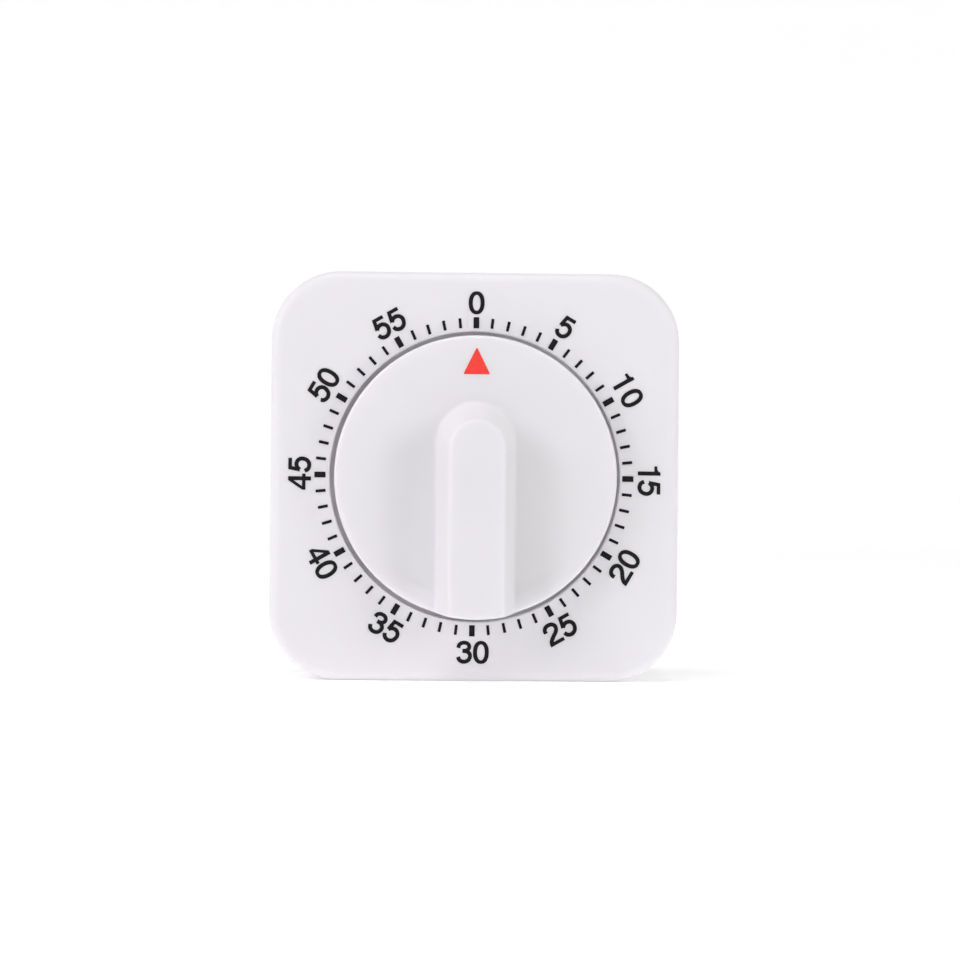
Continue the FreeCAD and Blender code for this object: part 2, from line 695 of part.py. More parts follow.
# rivet that the pawl turns on
b = new_body("click_rivet")
disc(b, "0.7", "main_wheel_z - 0.3", "ratchet_z + ratchet_thick - main_wheel_z + 0.4", CLICK[0], CLICK[1])
disc(b, "1.15", "ratchet_z + ratchet_thick + 0.1", "0.3", CLICK[0], CLICK[1])
done(b)


def turned(pts, centre, deg):
    c, s = math.cos(math.radians(deg)), math.sin(math.radians(deg))
    return [(centre[0] + (x - centre[0]) * c - (y - centre[1]) * s,
             centre[1] + (x - centre[0]) * s + (y - centre[1]) * c) for x, y in pts]


# pawl: drawn engaged, then lifted clear of the ratchet's teeth
engaged = [(4.98, 0.14), (5.75, 0.3), (6.6, 2.2), (9.45, 6.2)]
arc = [(CLICK[0] + 1.12 * math.cos(math.radians(a)), CLICK[1] + 1.12 * math.sin(math.radians(a)))
       for a in range(-20, 201, 20)]
engaged = engaged[:3] + arc + [(5.72, 1.7)]
PAWL_LIFT = 6.6
b = new_body("click_pawl")
sk = sketch(b, "ratchet_z")
outline(sk, turned(engaged, CLICK, PAWL_LIFT))
pad(b, sk, "ratchet_thick")
bore(b, "0.7 + turn_fit", "ratchet_z - 1", "ratchet_thick + 2", CLICK[0], CLICK[1])
done(b)

# leaf spring behind the pawl, held by a peg on the wheel's hub
b = new_body("click_spring")
sk = sketch(b, "ratchet_z")
leaf = [(9.9, -5.6), (10.0, -4.0), (9.8, -2.2), (9.2, -0.2), (8.3, 1.6), (7.75, 2.55)]
back = [(x + 0.22 * 0.93, y + 0.22 * 0.37) for x, y in leaf]
outline(sk, leaf + back[::-1])
pad(b, sk, "ratchet_thick")
disc(b, "0.7", "main_wheel_z + main_wheel_thick", "ratchet_z + ratchet_thick - main_wheel_z - main_wheel_thick", 10.0, -6.1)
done(b)


def staff_with_pinion(name, centre, module, tooth_toward, z, tall):
    """Steel staff with its pinion cut in one piece, and a pivot at each end."""
    body = new_body(name)
    disc(body, "pivot_radius", "rear_plate_z + 0.1", "front_plate_z - rear_plate_z + plate_thick - 0.2",
         centre[0], centre[1])
    disc(body, "staff_radius", "rear_plate_z + plate_thick + 0.25",
         "front_plate_z - rear_plate_z - plate_thick - 0.5", centre[0], centre[1])
    sk = sketch(body, z)
    outline(sk, shift(gear_points(D["pinion_teeth"], module, 0.9, 0.95,
                                  D["tooth_thinning"] * module / 0.45, tooth_toward), centre))
    pad(body, sk, tall)
    return body


def heading_to(a, b):
    return heading(a, b)


done(staff_with_pinion("second_pinion", SECOND, D["pinion_module"], heading(SECOND, (0, 0)), "main_wheel_z - 0.4", "1.7"))
done(wheel("second_wheel", SECOND, D["second_teeth"], fine, heading(SECOND, THIRD), "second_wheel_z", "wheel_thick",
           2.0, 11.4, 3.2, "staff_radius", 5, 10.0))
done(staff_with_pinion("third_pinion", THIRD, fine, heading(THIRD, SECOND), "second_wheel_z - 0.3", "1.2"))
done(wheel("third_wheel", THIRD, D["third_teeth"], fine, heading(THIRD, ESCAPE), "third_wheel_z", "wheel_thick",
           2.0, 8.9, 2.8, "staff_radius", 5, 30.0))
done(staff_with_pinion("escape_pinion", ESCAPE, fine, heading(ESCAPE, THIRD), "third_wheel_z - 0.3", "1.2"))
done(staff_with_pinion("strike_pinion", STRIKE, D["pinion_module"], heading(STRIKE, (0, 0)), "main_wheel_z - 0.4", "1.7"))

# escape wheel: narrow pointed teeth, one of them towards the pallet arbor
b = new_body("escape_wheel")
n = int(D["escape_teeth"])
beta = heading(ESCAPE, PALLET)
pts = []
for k in range(n):
    a = beta + 360.0 * k / n
    tip_half = math.degrees(0.1 / D["escape_tip"])
    pts += [polar(D["escape_root"], a - 5.0), polar(D["escape_tip"], a - tip_half),
            polar(D["escape_tip"], a + tip_half), polar(D["escape_root"], a + 5.0)]
sk = sketch(b, "escape_wheel_z")
outline(sk, shift(pts, ESCAPE))
pad(b, sk, "escape_thick")
sk = sketch(b, "escape_wheel_z - 1")
for k in range(4):
    half_out, half_in = math.degrees(0.35 / 3.0), math.degrees(0.35 / 1.6)
    a0 = beta + 90.0 * k
    q = [polar(2.95, a0 + half_out + (90 - 2 * half_out) * i / 6) for i in range(7)]
    q += [polar(1.6, a0 + 90 - half_in - (90 - 2 * half_in) * i / 3) for i in range(4)]
    outline(sk, shift(q, ESCAPE))
pocket(b, sk, "escape_thick + 2")
bore(b, "staff_radius", "escape_wheel_z - 1", "escape_thick + 2", ESCAPE[0], ESCAPE[1])
done(b)

# star wheel of the strike
b = new_body("strike_wheel")
n = int(D["star_teeth"])
pts = []
for k in range(n):
    a = 360.0 * k / n
    pts += [polar(3.3, a - 9), polar(D["star_tip"], a - 1.2), polar(D["star_tip"], a + 1.2), polar(3.3, a + 9)]
sk = sketch(b, "star_z")
outline(sk, shift(pts, STRIKE))
pad(b, sk, "cam_thick")
bore(b, "staff_radius", "star_z - 1", "cam_thick + 2", STRIKE[0], STRIKE[1])
many(b, [(STRIKE[0] + polar(2.0, a)[0], STRIKE[1] + polar(2.0, a)[1]) for a in (30, 150, 270)],
     "0.55", "star_z - 1", "cam_thick + 2", cut=True)
done(b)

# ---------------------------------------------------------- pallets, balance
pins = [(ESCAPE[0] + polar(pin_r, beta + s * D["pallet_half_span"])[0],
         ESCAPE[1] + polar(pin_r, beta + s * D["pallet_half_span"])[1]) for s in (1, -1)]


def bar(sk, p, q, half_p, half_q):
    """Straight tapered bar from p to q."""
    a = math.atan2(q[1] - p[1], q[0] - p[0])
    nx, ny = -math.sin(a), math.cos(a)
    outline(sk, [(p[0] + nx * half_p, p[1] + ny * half_p), (p[0] - nx * half_p, p[1] - ny * half_p),
                 (q[0] - nx * half_q, q[1] - ny * half_q), (q[0] + nx * half_q, q[1] + ny * half_q)])


b = new_body("pallet_lever")
disc(b, "1.4", "third_wheel_z - 0.55", "0.5", PALLET[0], PALLET[1])
for p in pins:
    sk = sketch(b, "third_wheel_z - 0.55")
    bar(sk, PALLET, p, 0.8, 0.5)
    pad(b, sk, "0.5")
    disc(b, "0.5", "third_wheel_z - 0.55", "0.5", p[0], p[1])
bore(b, "staff_radius", "third_wheel_z - 1.5", "3", PALLET[0], PALLET[1])
for p in pins:
    bore(b, "pallet_pin", "third_wheel_z - 1.5", "3", p[0], p[1])
done(b)
group("pallet_pins", [cyl("PalletPin%d" % i, "pallet_pin", "third_wheel_z - escape_wheel_z + 0.05",
                          p[0], p[1], "escape_wheel_z - 0.1") for i, p in enumerate(pins)])
b = new_body("pallet_staff")
disc(b, "pivot_radius", "rear_plate_z + 0.1", "front_plate_z - rear_plate_z + plate_thick - 0.2", PALLET[0], PALLET[1])
disc(b, "staff_radius", "rear_plate_z + plate_thick + 0.25", "front_plate_z - rear_plate_z - plate_thick - 0.5",
     PALLET[0], PALLET[1])
done(b)
b = new_body("balance_bar")
disc(b, "1.8", "main_wheel_z - 1.9", "0.8", PALLET[0], PALLET[1])
sk = sketch(b, "main_wheel_z - 1.9")
outline(sk, [(PALLET[0] - 7.0, PALLET[1] - 0.6), (PALLET[0] + 7.0, PALLET[1] - 0.6),
             (PALLET[0] + 7.0, PALLET[1] + 0.6), (PALLET[0] - 7.0, PALLET[1] + 0.6)])
pad(b, sk, "0.8")
disc(b, "1.2", "main_wheel_z - 1.9", "1.4", PALLET[0] - 6.9, PALLET[1])
disc(b, "1.2", "main_wheel_z - 1.9", "1.4", PALLET[0] + 6.9, PALLET[1])
bore(b, "staff_radius", "main_wheel_z - 3", "5", PALLET[0], PALLET[1])
done(b)

# ---------------------------------------------------------------- mainspring
spiral = doc.addObject("Part::Spiral", "SpringLine")
drive(spiral, "Growth", "spring_growth")
drive(spiral, "Radius", "spring_inner")
drive(spiral, "Rotations", "spring_turns")
doc.recompute()
section = doc.addObject("Part::Plane", "SpringSection")
drive(section, "Length", "spring_thick")
drive(section, "Width", "spring_tall")
section.Placement = FreeCAD.Placement(V(D["spring_inner"] - D["spring_thick"] / 2, 0, 0),
                                      FreeCAD.Rotation(V(1, 0, 0), 90))
doc.recompute()
sweep = doc.addObject("Part::Sweep", "mainspring")
sweep.Sections = [section]
sweep.Spine = (spiral, ["Edge%d" % (i + 1) for i in range(len(spiral.Shape.Edges))])
sweep.Solid = True
sweep.Frenet = False
doc.recompute()
# turned so that its outer end lies at the post
end_angle = (D["spring_turns"] % 1.0) * 360.0
sweep.Label = "mainspring"
spring_turn = FreeCAD.Placement(V(0, 0, D["spring_z"]), FreeCAD.Rotation(V(0, 0, 1), 165.0 - end_angle + 3.0))
sweep.Placement = STAND.multiply(spring_turn)
nodes.append(sweep)

b = new_body("spring_post")
disc(b, "0.9", "spring_z - 0.2", "front_plate_z - spring_z + 0.2", SPRING_POST[0], SPRING_POST[1])
disc(b, "0.6", "front_plate_z", "plate_thick", SPRING_POST[0], SPRING_POST[1])
done(b)

# ------------------------------------------------------------ movement plates
pivots = [SECOND, THIRD, ESCAPE, PALLET, STRIKE]
b = new_body("front_plate")
sk = sketch(b, "front_plate_z")
rounded(sk, "plate_size", "plate_size", "plate_corner")
pad(b, sk, "plate_thick")
bore(b, "arbor_neck + turn_fit", "front_plate_z - 1", "plate_thick + 2")
many(b, pivots + [HAMMER], "pivot_radius + pivot_fit", "front_plate_z - 1", "plate_thick + 2", cut=True)
many(b, MOUNTS, "0.9", "front_plate_z - 1", "plate_thick + 2", cut=True)
many(b, PILLARS, "pillar_neck", "front_plate_z - 1", "plate_thick + 2", cut=True)
many(b, [SPRING_POST], "0.6", "front_plate_z - 1", "plate_thick + 2", cut=True)
many(b, [STOP_PIN], "stop_pin_radius", "front_plate_z - 1", "plate_thick + 2", cut=True)
done(b)

b = new_body("rear_plate")
sk = sketch(b, "rear_plate_z")
rounded(sk, "plate_size", "plate_size", "plate_corner")
pad(b, sk, "plate_thick")
bore(b, "arbor_pivot + turn_fit", "rear_plate_z - 1", "plate_thick + 2")
many(b, pivots, "pivot_radius + pivot_fit", "rear_plate_z - 1", "plate_thick + 2", cut=True)
many(b, [HAMMER], "staff_radius + turn_fit", "rear_plate_z - 1", "plate_thick + 2", cut=True)
many(b, PILLARS, "pillar_neck", "rear_plate_z - 1", "plate_thick + 2", cut=True)
many(b, [LEVER], "0.6", "rear_plate_z - 1", "plate_thick + 2", cut=True)
many(b, [(D["bell_x"], D["bell_y"])], "1.1", "rear_plate_z - 1", "plate_thick + 2", cut=True)
done(b)

items = []
for i, (x, y) in enumerate(PILLARS):
    items.append(fuse("Pillar%d" % i, [
        cyl("PillarBody%d" % i, "pillar_radius", "front_plate_z - rear_plate_z - plate_thick", x, y,
            "rear_plate_z + plate_thick"),
        cyl("PillarFront%d" % i, "pillar_neck", "plate_thick", x, y, "front_plate_z"),
        cyl("PillarRear%d" % i, "pillar_neck", "plate_thick + nut_tall + 0.2", x, y,
            "rear_plate_z - nut_tall - 0.2")]))
doc.recompute()
group("plate_pillars", items)

items = []
for i, (x, y) in enumerate(PILLARS):
    p = doc.addObject("Part::Prism", "NutHex%d" % i)
    p.Polygon = 6
    drive(p, "Circumradius", "nut_half * 1.1547")
    drive(p, "Height", "nut_tall")
    p.Placement = FreeCAD.Placement(V(x, y, D["rear_plate_z"] - D["nut_tall"]), FreeCAD.Rotation(V(0, 0, 1), 13 * i))
    items.append(cut("Nut%d" % i, p, cyl("NutBore%d" % i, "pillar_neck + 0.02", "nut_tall + 1", x, y,
                                         "rear_plate_z - nut_tall - 0.5")))
doc.recompute()
group("plate_nuts", items)

b = new_body("stop_pin")
disc(b, "stop_pin_radius", "front_plate_z", "plate_thick + 1.15", STOP_PIN[0], STOP_PIN[1])
done(b)

# ------------------------------------------------------------ strike: lever
b = new_body("lever_stud")
disc(b, "0.6", "rear_plate_z", "plate_thick", LEVER[0], LEVER[1])
disc(b, "stud_radius", "rear_plate_z + plate_thick", "1.75", LEVER[0], LEVER[1])
disc(b, "1.5", "rear_plate_z + plate_thick + 1.75", "0.35", LEVER[0], LEVER[1])
dress(b, "Chamfer", "0.12", lambda e: flat_at(e, D["rear_plate_z"] + D["plate_thick"] + 2.1))
done(b)

b = new_body("release_lever")
disc(b, "1.7", "cam_z", "cam_thick", LEVER[0], LEVER[1])
sk = sketch(b, "cam_z")
bar(sk, (LEVER[0] - 1.0, LEVER[1]), (0.0, LEVER[1]), 0.9, 0.6)
pad(b, sk, "cam_thick")
sk = sketch(b, "cam_z")
outline(sk, [(0.0, LEVER[1] + 0.6), (0.0, 6.95), (0.25, 6.62), (0.75, 6.62), (1.0, 6.95), (1.6, LEVER[1] + 0.6)])
pad(b, sk, "cam_thick")
sk = sketch(b, "cam_z")
bar(sk, LEVER, (19.2, 12.4), 0.9, 0.7)
pad(b, sk, "cam_thick")
disc(b, "0.8", "cam_z", "cam_thick", 19.2, 12.4)
bore(b, "stud_radius + turn_fit", "cam_z - 1", "cam_thick + 2", LEVER[0], LEVER[1])
done(b)

# ------------------------------------------------------------ strike: hammer
head_r = D["bell_radius"] + D["hammer_head_radius"] + D["hammer_gap"]
HEAD = (D["bell_x"] + polar(head_r, 35.0)[0], D["bell_y"] + polar(head_r, 35.0)[1])
b = new_body("hammer")
disc(b, "1.6", "rear_plate_z - 2.1", "0.8", HAMMER[0], HAMMER[1])
sk = sketch(b, "rear_plate_z - 2.1")
bar(sk, HAMMER, HEAD, 1.0, 0.7)
pad(b, sk, "0.8")
disc(b, "hammer_head_radius", "rear_plate_z - 4.2", "3.7", HEAD[0], HEAD[1])
bore(b, "staff_radius", "rear_plate_z - 5", "6", HAMMER[0], HAMMER[1])
done(b)

b = new_body("hammer_staff")
disc(b, "staff_radius", "rear_plate_z - 2.5", "front_plate_z - rear_plate_z + 2.25", HAMMER[0], HAMMER[1])
disc(b, "pivot_radius", "front_plate_z - 0.25", "plate_thick + 0.15", HAMMER[0], HAMMER[1])
done(b)

b = new_body("hammer_tail")
u = heading(HAMMER, STRIKE)
TAIL = (HAMMER[0] + polar(7.9, u)[0], HAMMER[1] + polar(7.9, u)[1])
disc(b, "1.6", "cam_z", "star_z + cam_thick - cam_z", HAMMER[0], HAMMER[1])
sk = sketch(b, "star_z")
bar(sk, HAMMER, TAIL, 0.9, 0.5)
pad(b, sk, "cam_thick")
disc(b, "0.5", "star_z", "cam_thick", TAIL[0], TAIL[1])
sk = sketch(b, "cam_z")
bar(sk, HAMMER, (HAMMER[0], HAMMER[1] + 11.0), 0.9, 0.7)
pad(b, sk, "cam_thick")
bore(b, "staff_radius", "cam_z - 1", "4", HAMMER[0], HAMMER[1])
done(b)

# ---------------------------------------------------------------- bell
bx, by = D["bell_x"], D["bell_y"]
b = new_body("bell")
disc(b, "bell_radius", "bell_back_z", "bell_rim_z - bell_back_z", "bell_x", "bell_y")
dress(b, "Fillet", "bell_round", lambda e: flat_at(e, D["bell_back_z"]))
base = b.Tip
mouth = ["Face%d" % (i + 1) for i, f in enumerate(base.Shape.Faces)
         if abs(f.BoundBox.ZMin - D["bell_rim_z"]) < 1e-3]
shell = b.newObject("PartDesign::Thickness", "BellShell")
shell.Base = (base, mouth)
shell.Value = D["bell_thick"]
shell.Reversed = True
drive(shell, "Value", "bell_thick")
b.Tip = shell
doc.recompute()
bore(b, "1.1", "bell_back_z - 1", "4", "bell_x", "bell_y")
done(b)

b = new_body("bell_post")
disc(b, "bell_post_radius", "bell_back_z + bell_thick", "rear_plate_z - bell_back_z - bell_thick", bx, by)
disc(b, "1.1", "rear_plate_z", "plate_thick", bx, by)
bore(b, "0.8 + screw_fit", "bell_back_z", "3.6", bx, by)
done(b)

head = cyl("BellScrewHead", 1.9, 0.7, bx, by, "bell_back_z - 0.7")
shank = cyl("BellScrewShank", 0.8, 3.6, bx, by, "bell_back_z")
whole = fuse("BellScrewSolid", [head, shank])
one = cut("bell_screw", whole, box("BellScrewSlot", 4.0, 0.45, 0.35, bx, by, "bell_back_z - 0.7", 30))
doc.recompute()
done(one, "bell_screw")

# ---------------------------------------------------------------- checks, export
doc.recompute()
bad = [o.Name for o in doc.Objects if any(s in ("Invalid", "Error") for s in o.State)]
if bad:
    raise RuntimeError("features in error: " + ", ".join(bad))
names = [o.Label for o in nodes]
if len(set(names)) != len(names):
    raise RuntimeError("a label is used twice")
for o in nodes:
    shape = o.Shape
    if shape.isNull() or not shape.isValid() or shape.Volume <= 0:
        raise RuntimeError("bad shape: " + o.Label)
for old in os.listdir("parts"):
    if old.endswith(".step"):
        os.remove(os.path.join("parts", old))
whole = None
for o in nodes:
    o.Shape.exportStep("parts/%s.step" % o.Label)
    bb = o.Shape.BoundBox
    whole = FreeCAD.BoundBox(bb) if whole is None else whole.united(bb)
    print("%-16s solids %d volume %9.2f" % (o.Label, len(o.Shape.Solids), o.Shape.Volume))
print("nodes", len(nodes), "box", [round(x, 3) for x in
      (whole.XMin, whole.YMin, whole.ZMin, whole.XMax, whole.YMax, whole.ZMax)])
print("second", SECOND, "third", THIRD, "escape", ESCAPE, "pallet", PALLET, "strike", STRIKE)
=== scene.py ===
import json
import math

import bmesh
import bpy
from mathutils import Matrix, Vector
from mathutils.geometry import tessellate_polygon


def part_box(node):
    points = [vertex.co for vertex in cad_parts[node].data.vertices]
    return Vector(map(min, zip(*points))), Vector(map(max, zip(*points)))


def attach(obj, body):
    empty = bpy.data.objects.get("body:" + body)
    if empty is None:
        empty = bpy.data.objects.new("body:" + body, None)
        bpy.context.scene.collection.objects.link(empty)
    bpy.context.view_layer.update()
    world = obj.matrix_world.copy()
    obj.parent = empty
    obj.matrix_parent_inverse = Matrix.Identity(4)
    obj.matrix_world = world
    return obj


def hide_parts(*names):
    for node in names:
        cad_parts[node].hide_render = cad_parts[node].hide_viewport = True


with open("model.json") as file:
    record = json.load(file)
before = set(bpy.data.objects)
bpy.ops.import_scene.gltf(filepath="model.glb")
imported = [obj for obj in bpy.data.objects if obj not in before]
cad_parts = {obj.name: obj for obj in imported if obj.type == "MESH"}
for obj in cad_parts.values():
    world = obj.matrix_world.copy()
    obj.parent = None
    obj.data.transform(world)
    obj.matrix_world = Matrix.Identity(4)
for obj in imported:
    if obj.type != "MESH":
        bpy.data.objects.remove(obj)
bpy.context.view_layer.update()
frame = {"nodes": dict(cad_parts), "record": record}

MM = 0.001

# Places read from the frame.  The dial faces -Y and +Z is up.
case_lo, case_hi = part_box("front_case")
knob_lo, knob_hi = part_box("knob")
FACE_Y = case_lo[1]                      # front face of the case
AXIS_Z = (knob_lo[2] + knob_hi[2]) / 2   # height of the knob's axis
TOP_Y = knob_lo[1] + 7.0 * MM            # flat of the knob, behind the grip's crest


# ------------------------------------------------------------------ materials
class Nodes:
    def __init__(self, name):
        self.mat = bpy.data.materials.new(name)
        self.mat.use_nodes = True
        self.tree = self.mat.node_tree
        self.bsdf = self.tree.nodes["Principled BSDF"]
        self.coord = self.add("ShaderNodeTexCoord")

    def add(self, kind, **props):
        n = self.tree.nodes.new(kind)
        for k, v in props.items():
            setattr(n, k, v)
        return n

    def link(self, a, b):
        self.tree.links.new(a, b)

    def mapped(self, scale=(1, 1, 1), rot=(0, 0, 0)):
        m = self.add("ShaderNodeMapping")
        m.inputs["Scale"].default_value = scale
        m.inputs["Rotation"].default_value = rot
        self.link(self.coord.outputs["Object"], m.inputs["Vector"])
        return m.outputs["Vector"]

    def noise(self, scale, detail=2.0, rough=0.5, vec=None, distort=0.0):
        n = self.add("ShaderNodeTexNoise")
        n.inputs["Scale"].default_value = scale
        n.inputs["Detail"].default_value = detail
        n.inputs["Roughness"].default_value = rough
        n.inputs["Distortion"].default_value = distort
        self.link(vec or self.coord.outputs["Object"], n.inputs["Vector"])
        return n.outputs["Fac"]

    def span(self, value, lo, hi, in_lo=0.3, in_hi=0.7):
        r = self.add("ShaderNodeMapRange")
        r.inputs["From Min"].default_value = in_lo
        r.inputs["From Max"].default_value = in_hi
        r.inputs["To Min"].default_value = lo
        r.inputs["To Max"].default_value = hi
        self.link(value, r.inputs["Value"])
        return r.outputs["Result"]

    def math(self, op, a, b=None, value=None):
        m = self.add("ShaderNodeMath", operation=op)
        self.link(a, m.inputs[0])
        if b is not None:
            self.link(b, m.inputs[1])
        elif value is not None:
            m.inputs[1].default_value = value
        return m.outputs[0]

    def mix(self, fac, a, b):
        m = self.add("ShaderNodeMix", data_type="RGBA")
        self.link(fac, m.inputs["Factor"])
        m.inputs["A"].default_value = (*a, 1)
        if isinstance(b, tuple):
            m.inputs["B"].default_value = (*b, 1)
        return m.outputs["Result"]

    def bump(self, height, strength, distance, normal=None):
        b = self.add("ShaderNodeBump")
        b.inputs["Strength"].default_value = strength
        b.inputs["Distance"].default_value = distance
        self.link(height, b.inputs["Height"])
        if normal is not None:
            self.link(normal, b.inputs["Normal"])
        return b.outputs["Normal"]

    def set(self, **values):
        for k, v in values.items():
            self.bsdf.inputs[k.replace("_", " ")].default_value = v


def scaled(c, k):
    return tuple(min(1.0, x * k) for x in c)


def moulded(name, base, rough, grain=0.10, grain_size=0.22, wave=0.04):
    """White moulded ABS: spark-eroded grain, slow sink waves, faint handling marks."""
    m = Nodes(name)
    broad = m.noise(38, 3.0)                       # clouding about 25 mm across
    m.link(m.mix(m.span(broad, 0, 1), scaled(base, 0.985), scaled(base, 1.012)), m.bsdf.inputs["Base Color"])
    grain_n = m.noise(1000 / grain_size, 3.0, 0.6)   # grain_size in mm
    soft = m.noise(160, 2.0)                       # about 6 mm
    scuff = m.noise(90, 4.0, 0.65, m.mapped((1.0, 1.0, 26.0), (0.3, 0.2, 0.9)))
    marks = m.span(scuff, 0.0, 0.07, 0.60, 0.74)
    r = m.span(grain_n, rough - 0.03, rough + 0.03)
    r = m.math("ADD", r, m.span(soft, -0.02, 0.02))
    r = m.math("SUBTRACT", r, marks)
    m.link(r, m.bsdf.inputs["Roughness"])
    n = m.bump(m.noise(24, 1.0), wave, 0.0004)
    n = m.bump(grain_n, grain, 0.00003, n)
    m.link(n, m.bsdf.inputs["Normal"])
    m.set(IOR=1.53)
    m.bsdf.inputs["Subsurface Weight"].default_value = 0.55
    m.bsdf.inputs["Subsurface Radius"].default_value = (1.0, 0.96, 1.0)
    m.bsdf.inputs["Subsurface Scale"].default_value = 0.0014
    return m.mat


def metal(name, base, rough, stretch=(1, 1, 1), size=0.5, spread=0.12, cloud=0.06, relief=0.25, spin=(0, 0, 0)):
    """Worked metal: tool lines along one direction, slow tarnish, small pits."""
    m = Nodes(name)
    lines = m.noise(1000 / size, 3.0, 0.6, m.mapped(stretch, spin))
    cloudy = m.noise(180, 4.0, 0.6)
    pits = m.noise(2600, 2.0, 0.5)
    m.link(m.mix(m.span(cloudy, 0, 1), scaled(base, 1 - cloud), scaled(base, 1 + cloud)), m.bsdf.inputs["Base Color"])
    r = m.math("ADD", m.span(lines, rough - spread / 2, rough + spread / 2), m.span(cloudy, -0.04, 0.05))
    m.link(r, m.bsdf.inputs["Roughness"])
    n = m.bump(lines, relief, 0.00002)
    n = m.bump(pits, 0.08, 0.00001, n)
    m.link(n, m.bsdf.inputs["Normal"])
    m.set(Metallic=1.0)
    return m.mat


def ink(name, base, rough=0.48):
    """Pad-printed ink: slightly uneven cover, the grain of the plastic showing through."""
    m = Nodes(name)
    cover = m.noise(2400, 4.0, 0.6)
    m.link(m.mix(m.span(cover, 0, 1), scaled(base, 0.88), scaled(base, 1.10)), m.bsdf.inputs["Base Color"])
    m.link(m.span(m.noise(3800, 3.0), rough - 0.05, rough + 0.07), m.bsdf.inputs["Roughness"])
    m.link(m.bump(cover, 0.15, 0.00001), m.bsdf.inputs["Normal"])
    m.set(IOR=1.48)
    m.bsdf.inputs["Specular IOR Level"].default_value = 0.22
    return m.mat


WHITE = (0.822, 0.804, 0.828)
MATS = {
    "case_plastic": moulded("abs_case", WHITE, 0.44),
    "cover_plastic": moulded("abs_cover", scaled(WHITE, 0.98), 0.56, grain=0.22, grain_size=0.30),
    "knob_plastic": moulded("abs_knob", scaled(WHITE, 0.978), 0.40, grain=0.07),
    "screw_steel": metal("zinc_screw", (0.56, 0.57, 0.58), 0.38, (1, 1, 9), 0.35),
    "magnet_nickel": metal("nickel_disc", (0.66, 0.64, 0.61), 0.24, (14, 1, 1), 0.4, relief=0.15),
    "arbor_steel": metal("turned_steel", (0.58, 0.58, 0.59), 0.28, (1, 18, 1), 0.3),
    "spring_steel": metal("blued_steel", (0.20, 0.23, 0.33), 0.30, (1, 16, 1), 0.3, cloud=0.25),
    "plate_steel": metal("rolled_sheet", (0.60, 0.60, 0.61), 0.36, (12, 1, 1), 0.3),
    "wheel_brass": metal("stamped_brass", (0.83, 0.62, 0.28), 0.30, (1, 1, 10), 0.3, cloud=0.10),
    "bell_chrome": metal("plated_bell", (0.70, 0.71, 0.72), 0.14, (1, 14, 1), 0.5, spread=0.06, relief=0.08),
}
INK_BLACK = ink("print_black", (0.006, 0.006, 0.007), 0.6)
INK_RED = ink("print_red", (0.93, 0.060, 0.045), 0.42)

slot_of = {s["node"]: s["material_slot"] for s in frame["record"]["subparts"]}
for node, ob in frame["nodes"].items():
    mat = MATS[slot_of[node]]
    if not ob.material_slots:
        ob.data.materials.append(mat)
    for sl in ob.material_slots:
        sl.material = mat


# ------------------------------------------------------------------ knob
# The disc is scooped a little on both sides of the grip, so the fingers get hold of it.
R_OUT, RIM, DISC, GRIP = 24.08, 0.60, 12.0, 7.0   # mm; DISC is the depth of the flat in front of y = 0
BASE_HALF, CREST_HALF, BASE_Z, CREST_Z = 6.75, 4.75, 5.95, 4.80
SKIRT = FACE_Y / MM + 1.2                          # the skirt ends 0.6 mm above the well's floor
SCOOP = 1.15


def ease(v, lo, hi):
    t = min(1.0, max(0.0, (v - lo) / (hi - lo)))
    return t * t * t * (t * (6 * t - 15) + 10)


def scoop(x, z):
    side = 1 - ease(abs(x), 7.5, 18.5)
    end = 1 - ease(z, 3.0, 11.5)
    rim = 1 - ease(math.hypot(x, z), 20.0, 23.5)
    return SCOOP * side * end * rim


def grip_profile():
    """(half width, height) from the middle of the crest out to the flat of the disc."""
    slope = math.atan2(GRIP, BASE_HALF - CREST_HALF)      # flank's angle above the disc
    r1, r2 = 0.80, 0.60
    pts = [(w, GRIP) for w in (0.0, 1.2, 2.4, 3.3)]
    t1 = r1 * math.tan(slope / 2)                          # crest rounding, tangent length
    for k in range(7):
        a = slope * k / 6
        pts.append((CREST_HALF - t1 + r1 * math.sin(a), GRIP - r1 * (1 - math.cos(a))))
    t2 = r2 * math.tan(slope / 2)
    top, low = pts[-1], (BASE_HALF - t2 * math.cos(slope), t2 * math.sin(slope))
    for k in (1, 2, 3):
        pts.append((top[0] + (low[0] - top[0]) * k / 4, top[1] + (low[1] - top[1]) * k / 4))
    for k in range(7):
        a = slope * (1 - k / 6)
        pts.append((BASE_HALF + t2 - r2 * math.sin(a), r2 * (1 - math.cos(a))))
    return pts


